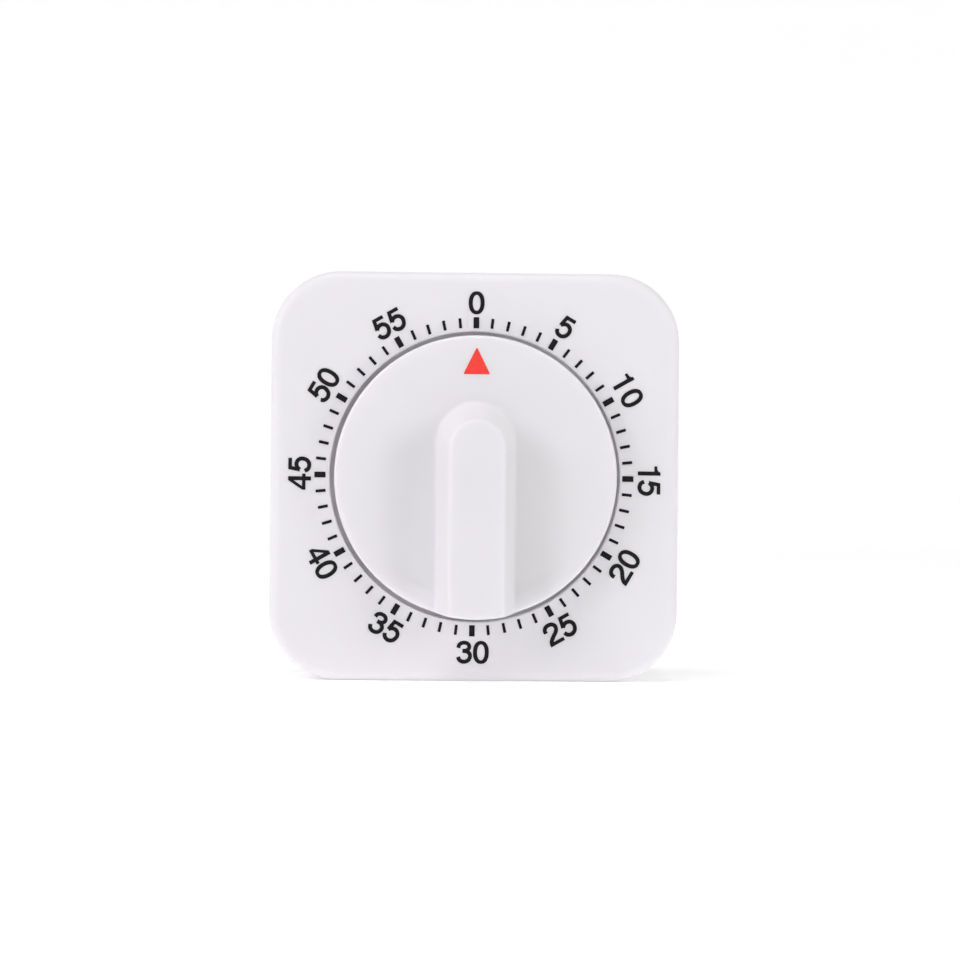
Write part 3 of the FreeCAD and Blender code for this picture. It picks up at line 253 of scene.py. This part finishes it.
def knob_mesh():
    rin = R_OUT - RIM
    straight, bend, across = 44, 36, 30
    rows = []

    def u_line(half, zc, rim_z):
        pts = []
        for i in range(straight):
            t = i / straight
            pts.append((-half, rim_z + (zc - rim_z) * t))
        for i in range(bend + 1):
            a = math.pi * (1 - i / bend)
            pts.append((half * math.cos(a), zc + half * math.sin(a)))
        for i in range(straight):
            t = (i + 1) / straight
            pts.append((half, zc + (rim_z - zc) * t))
        return pts

    for half, h in grip_profile():
        zc = BASE_Z + (CREST_Z - BASE_Z) * h / GRIP
        line = u_line(half, zc, -math.sqrt(rin * rin - half * half))
        rows.append([(x, -(DISC + h) + scoop(x, z) * (1 - h / GRIP) ** 2, z) for x, z in line])
    root_half = grip_profile()[-1][0]
    root = u_line(root_half, BASE_Z, -math.sqrt(rin * rin - root_half * root_half))
    rim = []
    for i, (x, z) in enumerate(root):
        if i < straight or i > straight + bend:
            rim.append((math.copysign(math.sqrt(max(0.0, rin * rin - z * z)), x), z))
        else:
            dx, dz = x / root_half, (z - BASE_Z) / root_half
            reach = -BASE_Z * dz + math.sqrt(rin * rin - BASE_Z * BASE_Z * dx * dx)
            rim.append((dx * reach, BASE_Z + dz * reach))
    for k in range(1, across + 1):
        t = k / across
        row = []
        for (x0, z0), (x1, z1) in zip(root, rim):
            x, z = x0 + (x1 - x0) * t, z0 + (z1 - z0) * t
            row.append((x, -DISC + scoop(x, z), z))
        rows.append(row)

    bm = bmesh.new()
    seen = {}

    def vert(p):
        key = tuple(round(c, 4) for c in p)
        if key not in seen:
            seen[key] = bm.verts.new((p[0] * MM, p[1] * MM, AXIS_Z + p[2] * MM))
        return seen[key]

    def face(*vs):
        ring = [v for i, v in enumerate(vs) if v is not vs[i - 1]]
        if len(set(ring)) >= 3 and bm.faces.get(ring) is None:
            bm.faces.new(ring)

    grid = [[vert(p) for p in row] for row in rows]
    for a, b in zip(grid, grid[1:]):
        for i in range(len(a) - 1):
            face(a[i], a[i + 1], b[i + 1], b[i])

    # edge of the top, once around: the rim, then across the end of the grip
    loop = [p for p in rows[-1]]
    loop += [row[-1] for row in reversed(rows[:len(rows) - across - 1])]
    loop += [row[0] for row in rows[1:len(rows) - across - 1]]
    clean = []
    for p in loop:
        if not clean or math.dist(p, clean[-1]) > 1e-4:
            clean.append(p)
    if math.dist(clean[0], clean[-1]) < 1e-4:
        clean.pop()

    def ring(fn):
        out = []
        for x, y, z in clean:
            a = math.atan2(x, z)
            out.append(vert(fn(a, y)))
        return out

    def at(r, y):
        return lambda a, _: (r * math.sin(a), y, r * math.cos(a))

    def bore(y):
        def fn(a, _):
            return (2.02 * math.sin(a), y, min(1.67, 2.02 * math.cos(a)))
        return fn

    rings = [[vert(p) for p in clean]]
    for k in range(1, 7):
        f = math.radians(15 * k)
        rings.append(ring(lambda a, y, f=f: ((rin + RIM * math.sin(f)) * math.sin(a), y + RIM * (1 - math.cos(f)),
                                             (rin + RIM * math.sin(f)) * math.cos(a))))
    for share in (0.33, 0.66):
        rings.append(ring(lambda a, y, s=share: (R_OUT * math.sin(a), y + RIM + (SKIRT - 0.2 - y - RIM) * s, R_OUT * math.cos(a))))
    rings.append(ring(at(R_OUT, SKIRT - 0.20)))
    rings.append(ring(at(R_OUT - 0.06, SKIRT - 0.06)))
    rings.append(ring(at(R_OUT - 0.20, SKIRT)))
    rings.append(ring(at(22.45, SKIRT)))
    rings.append(ring(at(22.35, SKIRT - 0.10)))
    rings.append(ring(at(22.35, -9.90)))
    rings.append(ring(at(22.05, -10.20)))
    rings.append(ring(at(13.0, -10.20)))
    rings.append(ring(at(4.1, -10.20)))
    rings.append(ring(at(3.8, -9.90)))
    rings.append(ring(at(3.8, -3.50)))
    rings.append(ring(at(3.65, -3.35)))
    rings.append(ring(bore(-3.35)))
    rings.append(ring(bore(-12.5)))
    for a, b in zip(rings, rings[1:]):
        for i in range(len(a)):
            j = (i + 1) % len(a)
            face(a[i], a[j], b[j], b[i])
    mid = bm.verts.new((0, -12.5 * MM, AXIS_Z))
    last = rings[-1]
    for i in range(len(last)):
        face(last[i], last[(i + 1) % len(last)], mid)
    bmesh.ops.recalc_face_normals(bm, faces=bm.faces)
    open_edges = sum(1 for e in bm.edges if len(e.link_faces) != 2)
    print("knob mesh: %d faces, %d edges not shared by two faces" % (len(bm.faces), open_edges))
    me = bpy.data.meshes.new("knob_body")
    bm.to_mesh(me)
    bm.free()
    for p in me.polygons:
        p.use_smooth = True
    me.set_sharp_from_angle(angle=math.radians(32))
    me.materials.append(MATS["knob_plastic"])
    ob = bpy.data.objects.new("knob_body", me)
    bpy.context.scene.collection.objects.link(ob)
    wn = ob.modifiers.new("normals", "WEIGHTED_NORMAL")
    wn.keep_sharp = True
    wn.weight = 60
    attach(ob, "knob_set")
    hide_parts("knob")
    return ob


knob_mesh()

# ------------------------------------------------------------------ print
GLYPHS = {
    "0": [
        [(0.123, -1.966), (0.226, -1.955), (0.322, -1.937), (0.414, -1.912), (0.501, -1.879),
         (0.584, -1.839), (0.663, -1.792), (0.811, -1.677), (0.879, -1.609), (1.003, -1.455),
         (1.058, -1.368), (1.156, -1.178), (1.198, -1.074), (1.268, -0.849), (1.296, -0.729),
         (1.337, -0.471), (1.357, -0.181), (1.357, 0.179), (1.337, 0.469), (1.297, 0.727), (1.236, 0.962),
         (1.157, 1.175), (1.06, 1.366), (0.945, 1.533), (0.813, 1.674), (0.666, 1.79), (0.504, 1.877),
         (0.417, 1.91), (0.326, 1.936), (0.23, 1.955), (0.126, 1.966), (-0.123, 1.966), (-0.226, 1.955),
         (-0.322, 1.937), (-0.414, 1.912), (-0.501, 1.879), (-0.584, 1.839), (-0.663, 1.792),
         (-0.811, 1.677), (-0.879, 1.609), (-1.003, 1.455), (-1.058, 1.368), (-1.156, 1.178),
         (-1.198, 1.074), (-1.268, 0.849), (-1.296, 0.729), (-1.337, 0.471), (-1.357, 0.181),
         (-1.357, -0.179), (-1.337, -0.469), (-1.297, -0.727), (-1.236, -0.962), (-1.157, -1.175),
         (-1.06, -1.366), (-0.945, -1.533), (-0.813, -1.674), (-0.666, -1.79), (-0.504, -1.877),
         (-0.417, -1.91), (-0.326, -1.936), (-0.23, -1.955), (-0.126, -1.966)],
        [(-0.047, -1.357), (-0.093, -1.349), (-0.181, -1.317), (-0.223, -1.292), (-0.303, -1.227),
         (-0.34, -1.187), (-0.411, -1.092), (-0.443, -1.037), (-0.53, -0.847), (-0.576, -0.702),
         (-0.612, -0.544), (-0.639, -0.375), (-0.655, -0.196), (-0.659, 0.102), (-0.648, 0.286),
         (-0.627, 0.461), (-0.595, 0.625), (-0.553, 0.778), (-0.503, 0.915), (-0.443, 1.037),
         (-0.376, 1.142), (-0.303, 1.227), (-0.223, 1.292), (-0.137, 1.336), (-0.047, 1.357), (0.051, 1.357),
         (0.097, 1.348), (0.184, 1.315), (0.225, 1.29), (0.304, 1.225), (0.342, 1.185), (0.412, 1.09),
         (0.503, 0.914), (0.554, 0.776), (0.595, 0.625), (0.627, 0.461), (0.648, 0.287), (0.659, 0.101),
         (0.659, -0.102), (0.648, -0.286), (0.627, -0.461), (0.595, -0.625), (0.553, -0.778),
         (0.503, -0.915), (0.443, -1.037), (0.376, -1.142), (0.303, -1.227), (0.223, -1.292),
         (0.137, -1.336), (0.047, -1.357)],
    ],
    "1": [
        [(0.318, -1.949), (0.339, -1.928), (0.34, 1.918), (0.336, 1.935), (0.325, 1.946), (0.308, 1.95),
         (-0.176, 1.95), (-0.193, 1.946), (-0.204, 1.935), (-0.274, 1.715), (-0.451, 1.52), (-0.745, 1.402),
         (-1.229, 1.37), (-1.242, 1.361), (-1.249, 1.347), (-1.25, 0.912), (-1.246, 0.895), (-1.235, 0.884),
         (-1.218, 0.88), (-0.372, 0.879), (-0.359, 0.871), (-0.351, 0.858), (-0.35, -1.918),
         (-0.346, -1.935), (-0.335, -1.946), (-0.318, -1.95)],
    ],
    "2": [
        [(1.318, -1.949), (1.339, -1.928), (1.34, -1.362), (1.336, -1.345), (1.325, -1.334), (1.308, -1.33),
         (-0.468, -1.329), (-0.482, -1.321), (-0.489, -1.308), (-0.489, -1.292), (-0.466, -1.26),
         (-0.293, -1.079), (-0.211, -1.004), (-0.082, -0.902), (0.259, -0.653), (0.592, -0.431),
         (0.776, -0.289), (0.857, -0.212), (0.998, -0.058), (1.125, 0.113), (1.181, 0.205), (1.23, 0.304),
         (1.3, 0.501), (1.325, 0.605), (1.342, 0.713), (1.35, 0.826), (1.345, 0.943), (1.325, 1.063),
         (1.309, 1.123), (1.266, 1.236), (1.212, 1.341), (1.147, 1.44), (1.075, 1.533), (0.993, 1.62),
         (0.903, 1.701), (0.803, 1.772), (0.695, 1.832), (0.583, 1.879), (0.47, 1.914), (0.356, 1.941),
         (0.131, 1.971), (-0.089, 1.972), (-0.314, 1.944), (-0.427, 1.919), (-0.538, 1.886), (-0.649, 1.842),
         (-0.756, 1.787), (-0.857, 1.719), (-0.947, 1.643), (-1.028, 1.562), (-1.1, 1.475), (-1.164, 1.386),
         (-1.22, 1.293), (-1.268, 1.193), (-1.308, 1.073), (-1.333, 0.905), (-1.332, 0.592), (-1.312, 0.57),
         (-0.678, 0.532), (-0.66, 0.536), (-0.649, 0.546), (-0.644, 0.562), (-0.644, 0.861), (-0.636, 0.915),
         (-0.613, 0.963), (-0.554, 1.054), (-0.479, 1.137), (-0.406, 1.192), (-0.283, 1.243),
         (-0.151, 1.272), (-0.048, 1.283), (0.049, 1.284), (0.153, 1.275), (0.288, 1.249), (0.348, 1.23),
         (0.434, 1.189), (0.53, 1.107), (0.601, 1.016), (0.628, 0.971), (0.653, 0.907), (0.659, 0.814),
         (0.643, 0.713), (0.619, 0.633), (0.577, 0.54), (0.49, 0.411), (0.394, 0.302), (0.292, 0.205),
         (0.231, 0.159), (-0.14, -0.09), (-0.458, -0.322), (-0.619, -0.446), (-0.769, -0.579),
         (-0.901, -0.711), (-1.025, -0.853), (-1.135, -1.008), (-1.186, -1.099), (-1.227, -1.194),
         (-1.255, -1.282), (-1.316, -1.55), (-1.309, -1.576), (-1.353, -1.931), (-1.344, -1.943),
         (-1.329, -1.95)],
    ],
    "3": [
        [(0.053, -1.98), (0.151, -1.972), (0.343, -1.935), (0.533, -1.875), (0.726, -1.786), (0.82, -1.729),
         (0.912, -1.66), (0.998, -1.58), (1.073, -1.492), (1.137, -1.401), (1.193, -1.308), (1.284, -1.116),
         (1.318, -1.021), (1.365, -0.833), (1.379, -0.735), (1.385, -0.633), (1.382, -0.527),
         (1.368, -0.419), (1.341, -0.31), (1.3, -0.203), (1.248, -0.103), (1.188, -0.009), (1.121, 0.081),
         (1.046, 0.166), (0.957, 0.252), (0.952, 0.267), (0.955, 0.282), (1.072, 0.429), (1.127, 0.522),
         (1.168, 0.622), (1.196, 0.72), (1.213, 0.82), (1.22, 0.92), (1.218, 1.023), (1.205, 1.126),
         (1.18, 1.231), (1.14, 1.334), (1.088, 1.427), (1.028, 1.512), (0.962, 1.59), (0.89, 1.662),
         (0.812, 1.727), (0.728, 1.786), (0.635, 1.838), (0.537, 1.879), (0.439, 1.91), (0.249, 1.948),
         (0.157, 1.958), (-0.017, 1.965), (-0.193, 1.955), (-0.371, 1.922), (-0.55, 1.862), (-0.633, 1.823),
         (-0.795, 1.729), (-0.956, 1.606), (-1.032, 1.531), (-1.103, 1.444), (-1.167, 1.338),
         (-1.193, 1.281), (-1.227, 1.172), (-1.248, 1.074), (-1.283, 0.807), (-1.266, 0.782),
         (-0.663, 0.661), (-0.645, 0.662), (-0.633, 0.67), (-0.625, 0.686), (-0.583, 0.986), (-0.568, 1.039),
         (-0.539, 1.077), (-0.47, 1.139), (-0.401, 1.186), (-0.308, 1.237), (-0.228, 1.267), (-0.138, 1.286),
         (-0.039, 1.295), (0.157, 1.284), (0.241, 1.269), (0.327, 1.242), (0.386, 1.209), (0.438, 1.167),
         (0.499, 1.101), (0.534, 1.047), (0.546, 1.008), (0.551, 0.956), (0.545, 0.883), (0.531, 0.83),
         (0.516, 0.802), (0.467, 0.744), (0.415, 0.696), (0.346, 0.646), (0.295, 0.622), (0.186, 0.594),
         (0.012, 0.566), (-0.263, 0.564), (-0.284, 0.543), (-0.276, -0.113), (-0.272, -0.13),
         (-0.261, -0.141), (-0.244, -0.145), (0.009, -0.137), (0.267, -0.174), (0.388, -0.202),
         (0.443, -0.224), (0.506, -0.271), (0.567, -0.333), (0.651, -0.448), (0.682, -0.516), (0.694, -0.58),
         (0.694, -0.642), (0.668, -0.785), (0.63, -0.891), (0.574, -1), (0.527, -1.07), (0.471, -1.129),
         (0.437, -1.155), (0.342, -1.207), (0.257, -1.241), (0.145, -1.273), (0.067, -1.287),
         (-0.035, -1.292), (-0.111, -1.287), (-0.208, -1.267), (-0.315, -1.231), (-0.394, -1.193),
         (-0.48, -1.138), (-0.531, -1.091), (-0.598, -0.955), (-0.702, -0.688), (-0.713, -0.674),
         (-0.727, -0.669), (-0.745, -0.672), (-1.315, -0.928), (-1.329, -0.939), (-1.335, -0.954),
         (-1.2, -1.304), (-1.147, -1.406), (-1.077, -1.512), (-1.035, -1.562), (-0.949, -1.646),
         (-0.859, -1.716), (-0.766, -1.776), (-0.672, -1.826), (-0.484, -1.904), (-0.294, -1.956),
         (-0.096, -1.98)],
    ],
    "4": [
        [(0.878, -1.949), (0.899, -1.928), (0.901, -1.042), (0.909, -1.029), (0.922, -1.021), (1.338, -1.02),
         (1.355, -1.016), (1.366, -1.005), (1.37, -0.988), (1.37, -0.462), (1.366, -0.445), (1.355, -0.434),
         (1.338, -0.43), (0.922, -0.429), (0.909, -0.421), (0.901, -0.408), (0.9, 1.918), (0.896, 1.935),
         (0.885, 1.946), (0.868, 1.95), (0.258, 1.95), (0.241, 1.946), (-1.378, -0.449), (-1.379, -0.998),
         (-1.358, -1.019), (0.198, -1.021), (0.211, -1.029), (0.219, -1.042), (0.22, -1.918),
         (0.224, -1.935), (0.235, -1.946), (0.252, -1.95)],
        [(-0.719, -0.426), (-0.729, -0.415), (-0.734, -0.4), (-0.729, -0.385), (0.17, 0.945), (0.184, 0.951),
         (0.2, 0.95), (0.213, 0.942), (0.219, 0.928), (0.219, -0.408), (0.211, -0.421), (0.198, -0.429)],
    ],
    "5": [
        [(0.072, -1.973), (0.184, -1.958), (0.296, -1.931), (0.401, -1.896), (0.609, -1.801), (0.712, -1.74),
         (0.813, -1.67), (0.909, -1.59), (0.999, -1.498), (1.079, -1.395), (1.147, -1.287), (1.205, -1.176),
         (1.254, -1.064), (1.33, -0.842), (1.377, -0.626), (1.394, -0.406), (1.391, -0.296), (1.379, -0.186),
         (1.358, -0.076), (1.326, 0.032), (1.284, 0.137), (1.232, 0.238), (1.173, 0.334), (1.106, 0.424),
         (1.032, 0.509), (0.952, 0.587), (0.864, 0.658), (0.767, 0.721), (0.667, 0.774), (0.563, 0.817),
         (0.458, 0.851), (0.351, 0.878), (0.243, 0.896), (0.134, 0.905), (0.023, 0.904), (-0.086, 0.892),
         (-0.192, 0.873), (-0.331, 0.835), (-0.346, 0.838), (-0.358, 0.848), (-0.362, 0.863),
         (-0.282, 1.313), (-0.272, 1.325), (-0.257, 1.33), (1.098, 1.33), (1.115, 1.334), (1.126, 1.345),
         (1.13, 1.362), (1.13, 1.918), (1.126, 1.935), (1.115, 1.946), (1.098, 1.95), (-0.793, 1.95),
         (-0.81, 1.946), (-0.821, 1.935), (-1.174, 0.008), (-1.168, -0.007), (-1.143, -0.02),
         (-0.828, -0.021), (-0.814, -0.029), (-0.632, -0.218), (-0.616, -0.218), (-0.601, -0.21),
         (-0.327, 0.064), (-0.27, 0.108), (-0.202, 0.144), (-0.094, 0.185), (-0.04, 0.2), (0.062, 0.215),
         (0.183, 0.207), (0.295, 0.18), (0.42, 0.125), (0.492, 0.073), (0.549, 0.015), (0.602, -0.054),
         (0.656, -0.149), (0.692, -0.262), (0.704, -0.371), (0.703, -0.431), (0.689, -0.555),
         (0.666, -0.655), (0.63, -0.767), (0.566, -0.912), (0.513, -1), (0.481, -1.043), (0.421, -1.1),
         (0.37, -1.139), (0.25, -1.21), (0.104, -1.269), (0.014, -1.285), (-0.037, -1.288), (-0.141, -1.28),
         (-0.3, -1.242), (-0.399, -1.2), (-0.485, -1.148), (-0.545, -1.097), (-0.579, -1.046),
         (-0.714, -0.723), (-0.725, -0.709), (-0.739, -0.704), (-0.756, -0.707), (-1.324, -0.973),
         (-1.337, -0.984), (-1.342, -0.998), (-1.213, -1.321), (-1.162, -1.417), (-1.093, -1.517),
         (-0.972, -1.643), (-0.887, -1.709), (-0.799, -1.767), (-0.709, -1.817), (-0.523, -1.895),
         (-0.43, -1.923), (-0.241, -1.962), (-0.036, -1.978)],
    ],
}


PRINT_DX, PRINT_TURN = -0.14, math.radians(-0.32)   # the scale sits a hair off centre, as pad printing does


def dial(u, v, y, printed=True):
    """u to the right and v up from the knob's axis, in mm, at depth y in metres."""
    if printed:
        c, s = math.cos(PRINT_TURN), math.sin(PRINT_TURN)
        u, v = u * c - v * s + PRINT_DX, u * s + v * c
    return Vector((u * MM, y, AXIS_Z + v * MM))


def cut_corners(pts, cut, steps=3):
    """Rounds each corner of a convex outline given in mm."""
    out, n = [], len(pts)
    for i in range(n):
        p, a, b = Vector(pts[i]), Vector(pts[i - 1]), Vector(pts[(i + 1) % n])
        pa, pb = p + (a - p).normalized() * cut, p + (b - p).normalized() * cut
        for k in range(steps + 1):
            t = k / steps
            q = pa.lerp(p, t).lerp(p.lerp(pb, t), t)
            out.append((q.x, q.y))
    return out


def print_mesh(name, shapes, y_face, thick, mat, body, printed=True):
    """Closed thin film on the face: shapes are lists of rings, in mm on the dial."""
    bm = bmesh.new()
    for rings in shapes:
        rings = [[Vector((x, z, 0)) for x, z in r] for r in rings]
        flat = [p for r in rings for p in r]
        tris = tessellate_polygon(rings)
        front = [bm.verts.new(dial(p.x, p.y, y_face - thick, printed)) for p in flat]
        back = [bm.verts.new(dial(p.x, p.y, y_face + 0.004 * MM, printed)) for p in flat]
        for t in tris:
            bm.faces.new([front[i] for i in t])
            bm.faces.new([back[i] for i in reversed(t)])
        start = 0
        for r in rings:
            for i in range(len(r)):
                j = (i + 1) % len(r)
                bm.faces.new((front[start + i], front[start + j], back[start + j], back[start + i]))
            start += len(r)
    bmesh.ops.recalc_face_normals(bm, faces=bm.faces)
    me = bpy.data.meshes.new(name)
    bm.to_mesh(me)
    bm.free()
    me.materials.append(mat)
    ob = bpy.data.objects.new(name, me)
    bpy.context.scene.collection.objects.link(ob)
    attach(ob, body)
    return ob


def turned(pts, clockwise):
    a = -math.radians(clockwise)
    c, s = math.cos(a), math.sin(a)
    return [(x * c - y * s, x * s + y * c) for x, y in pts]


minor, major = [], []
for k in range(60):
    wide, tall = (0.97, 1.92) if k % 5 == 0 else (0.50, 1.72)
    r = 26.36
    box = [(-wide / 2, r - tall / 2), (wide / 2, r - tall / 2), (wide / 2, r + tall / 2), (-wide / 2, r + tall / 2)]
    (major if k % 5 == 0 else minor).append([turned(cut_corners(box, 0.09), 6 * k)])
FILM = 0.03 * MM
print_mesh("minute_marks", minor, FACE_Y, FILM, INK_BLACK, "case")
print_mesh("five_minute_marks", major, FACE_Y, FILM, INK_BLACK, "case")

SIDE = {0: 0.0, 5: 0.28, 10: -0.04, 15: 0.0, 20: 0.02, 25: 0.1, 30: 0.15, 35: 0.14, 40: 0.07, 45: 0.2, 50: 0.33, 55: 0.0}
OUT = {0: -0.16, 5: 0.0, 10: 0.27, 15: 0.08, 20: 0.1, 25: 0.1, 30: 0.1, 35: -0.05, 40: -0.14, 45: -0.1, 50: 0.18, 55: -0.03}
numbers = []
for value in range(0, 60, 5):
    word = str(value)
    bottom = 20 <= value <= 40           # these read with their tops towards the knob
    r = 29.93 + OUT[value]
    for i, ch in enumerate(word):
        off = (i - (len(word) - 1) / 2) * 2.9 + SIDE[value]
        if word == "15" and ch == "1":
            off += 0.46
        rings = []
        for ring in GLYPHS[ch]:
            pts = [(x + off, y) for x, y in ring]
            if bottom:
                pts = [(-x, -y) for x, y in pts]
            pts = [(x, y + r) for x, y in pts]
            rings.append(turned(pts, 6 * value))
        numbers.append(rings)
print_mesh("minute_numbers", numbers, FACE_Y, FILM, INK_BLACK, "case")

tri = cut_corners([(-2.28, 17.45), (2.28, 17.45), (0.0, 22.05)], 0.22)
print_mesh("knob_pointer", [[tri]], TOP_Y, FILM, INK_RED, "knob_set", False)

# ------------------------------------------------------------------ floor
bm = bmesh.new()
rows = []
for i in range(25):                      # floor, then a wide sweep up behind
    if i < 4:
        rows.append((-3.0 + i * 1.5, 0.0))
    else:
        a = math.radians((i - 4) * 90 / 20)
        rows.append((1.5 + 1.5 * math.sin(a), 1.5 - 1.5 * math.cos(a)))
rows.append((3.0, 4.0))
grid = [[bm.verts.new((x, y, z)) for x in (-5.0, -2.0, 0.0, 2.0, 5.0)] for y, z in rows]
for a, b in zip(grid, grid[1:]):
    for i in range(4):
        bm.faces.new((a[i], a[i + 1], b[i + 1], b[i]))
me = bpy.data.meshes.new("floor_sweep")
bm.to_mesh(me)
bm.free()
for p in me.polygons:
    p.use_smooth = True
floor = bpy.data.objects.new("floor_sweep", me)
bpy.context.scene.collection.objects.link(floor)
fl = Nodes("paper_sweep")
fl.link(fl.mix(fl.span(fl.noise(3.0, 3.0), 0, 1), (0.97, 0.97, 0.97), (0.98, 0.98, 0.98)), fl.bsdf.inputs["Base Color"])
fl.link(fl.span(fl.noise(900, 3.0), 0.85, 0.95), fl.bsdf.inputs["Roughness"])
fl.bsdf.inputs["Specular IOR Level"].default_value = 0.1
fl.bsdf.inputs["Emission Color"].default_value = (1.0, 1.0, 1.0, 1.0)
far = fl.add("ShaderNodeSeparateXYZ")    # the paper is lit more strongly further back
fl.link(fl.coord.outputs["Object"], far.inputs["Vector"])
fl.link(fl.span(far.outputs["Y"], 0.24, 0.47, 0.1, 2.2), fl.bsdf.inputs["Emission Strength"])
me.materials.append(fl.mat)

# ------------------------------------------------------------------ light
scene = bpy.context.scene
world = bpy.data.worlds.new("studio")
scene.world = world
world.use_nodes = True
wt = world.node_tree
bg = wt.nodes["Background"]
tc = wt.nodes.new("ShaderNodeTexCoord")
dot = wt.nodes.new("ShaderNodeVectorMath")
dot.operation = "DOT_PRODUCT"
d = Vector((-0.62, -0.10, 0.78)).normalized()
dot.inputs[1].default_value = d
wt.links.new(tc.outputs["Generated"], dot.inputs[0])
ramp = wt.nodes.new("ShaderNodeMapRange")
ramp.inputs["From Min"].default_value = -1.0
ramp.inputs["From Max"].default_value = 1.0
ramp.inputs["To Min"].default_value = 0.15
ramp.inputs["To Max"].default_value = 0.35
wt.links.new(dot.outputs["Value"], ramp.inputs["Value"])
wt.links.new(ramp.outputs["Result"], bg.inputs["Strength"])
bg.inputs["Color"].default_value = (1.0, 1.0, 1.0, 1.0)


def area(name, at, aim, size, power, colour=(1.0, 1.0, 1.0)):
    li = bpy.data.lights.new(name, "AREA")
    li.color = colour
    li.shape = "DISK"
    li.size = size
    li.energy = power
    ob = bpy.data.objects.new(name, li)
    scene.collection.objects.link(ob)
    ob.location = at
    ob.rotation_euler = (Vector(aim) - Vector(at)).to_track_quat("-Z", "Y").to_euler()
    return ob


area("key", (-1.25, -0.75, 0.75), (0, 0, 0.035), 0.9, 8.6, (0.96, 0.925, 0.99))
area("side", (1.3, -0.65, 0.45), (0, 0, 0.035), 0.9, 5.7)
area("top", (-0.15, -0.45, 1.5), (0, 0, 0.035), 0.9, 8.7)

# ------------------------------------------------------------------ camera
AZ, ROLL, DIST = math.radians(-2.2), math.radians(0.52), 0.63
SHIFT_U, SHIFT_V = 0.87 * MM, -0.54 * MM
forward = Vector((math.sin(-AZ), math.cos(AZ), 0.0))
right = Vector((forward.y, -forward.x, 0.0))
up = Vector((0, 0, 1))
aim = Vector((0, FACE_Y, AXIS_Z)) + right * SHIFT_U + up * SHIFT_V
cam = bpy.data.cameras.new("camera")
cam.sensor_width = 36.0
cam.lens = 36.0 * DIST / (0.070 * 960.0 / 409.1)
cam.clip_start, cam.clip_end = 0.01, 50.0
cam_ob = bpy.data.objects.new("camera", cam)
scene.collection.objects.link(cam_ob)
rot = Matrix((right, up, -forward)).transposed().to_4x4() @ Matrix.Rotation(ROLL, 4, "Z")
cam_ob.matrix_world = Matrix.Translation(aim - forward * DIST) @ rot
scene.camera = cam_ob
scene.view_settings.view_transform = "Standard"
scene.view_settings.look = "None"
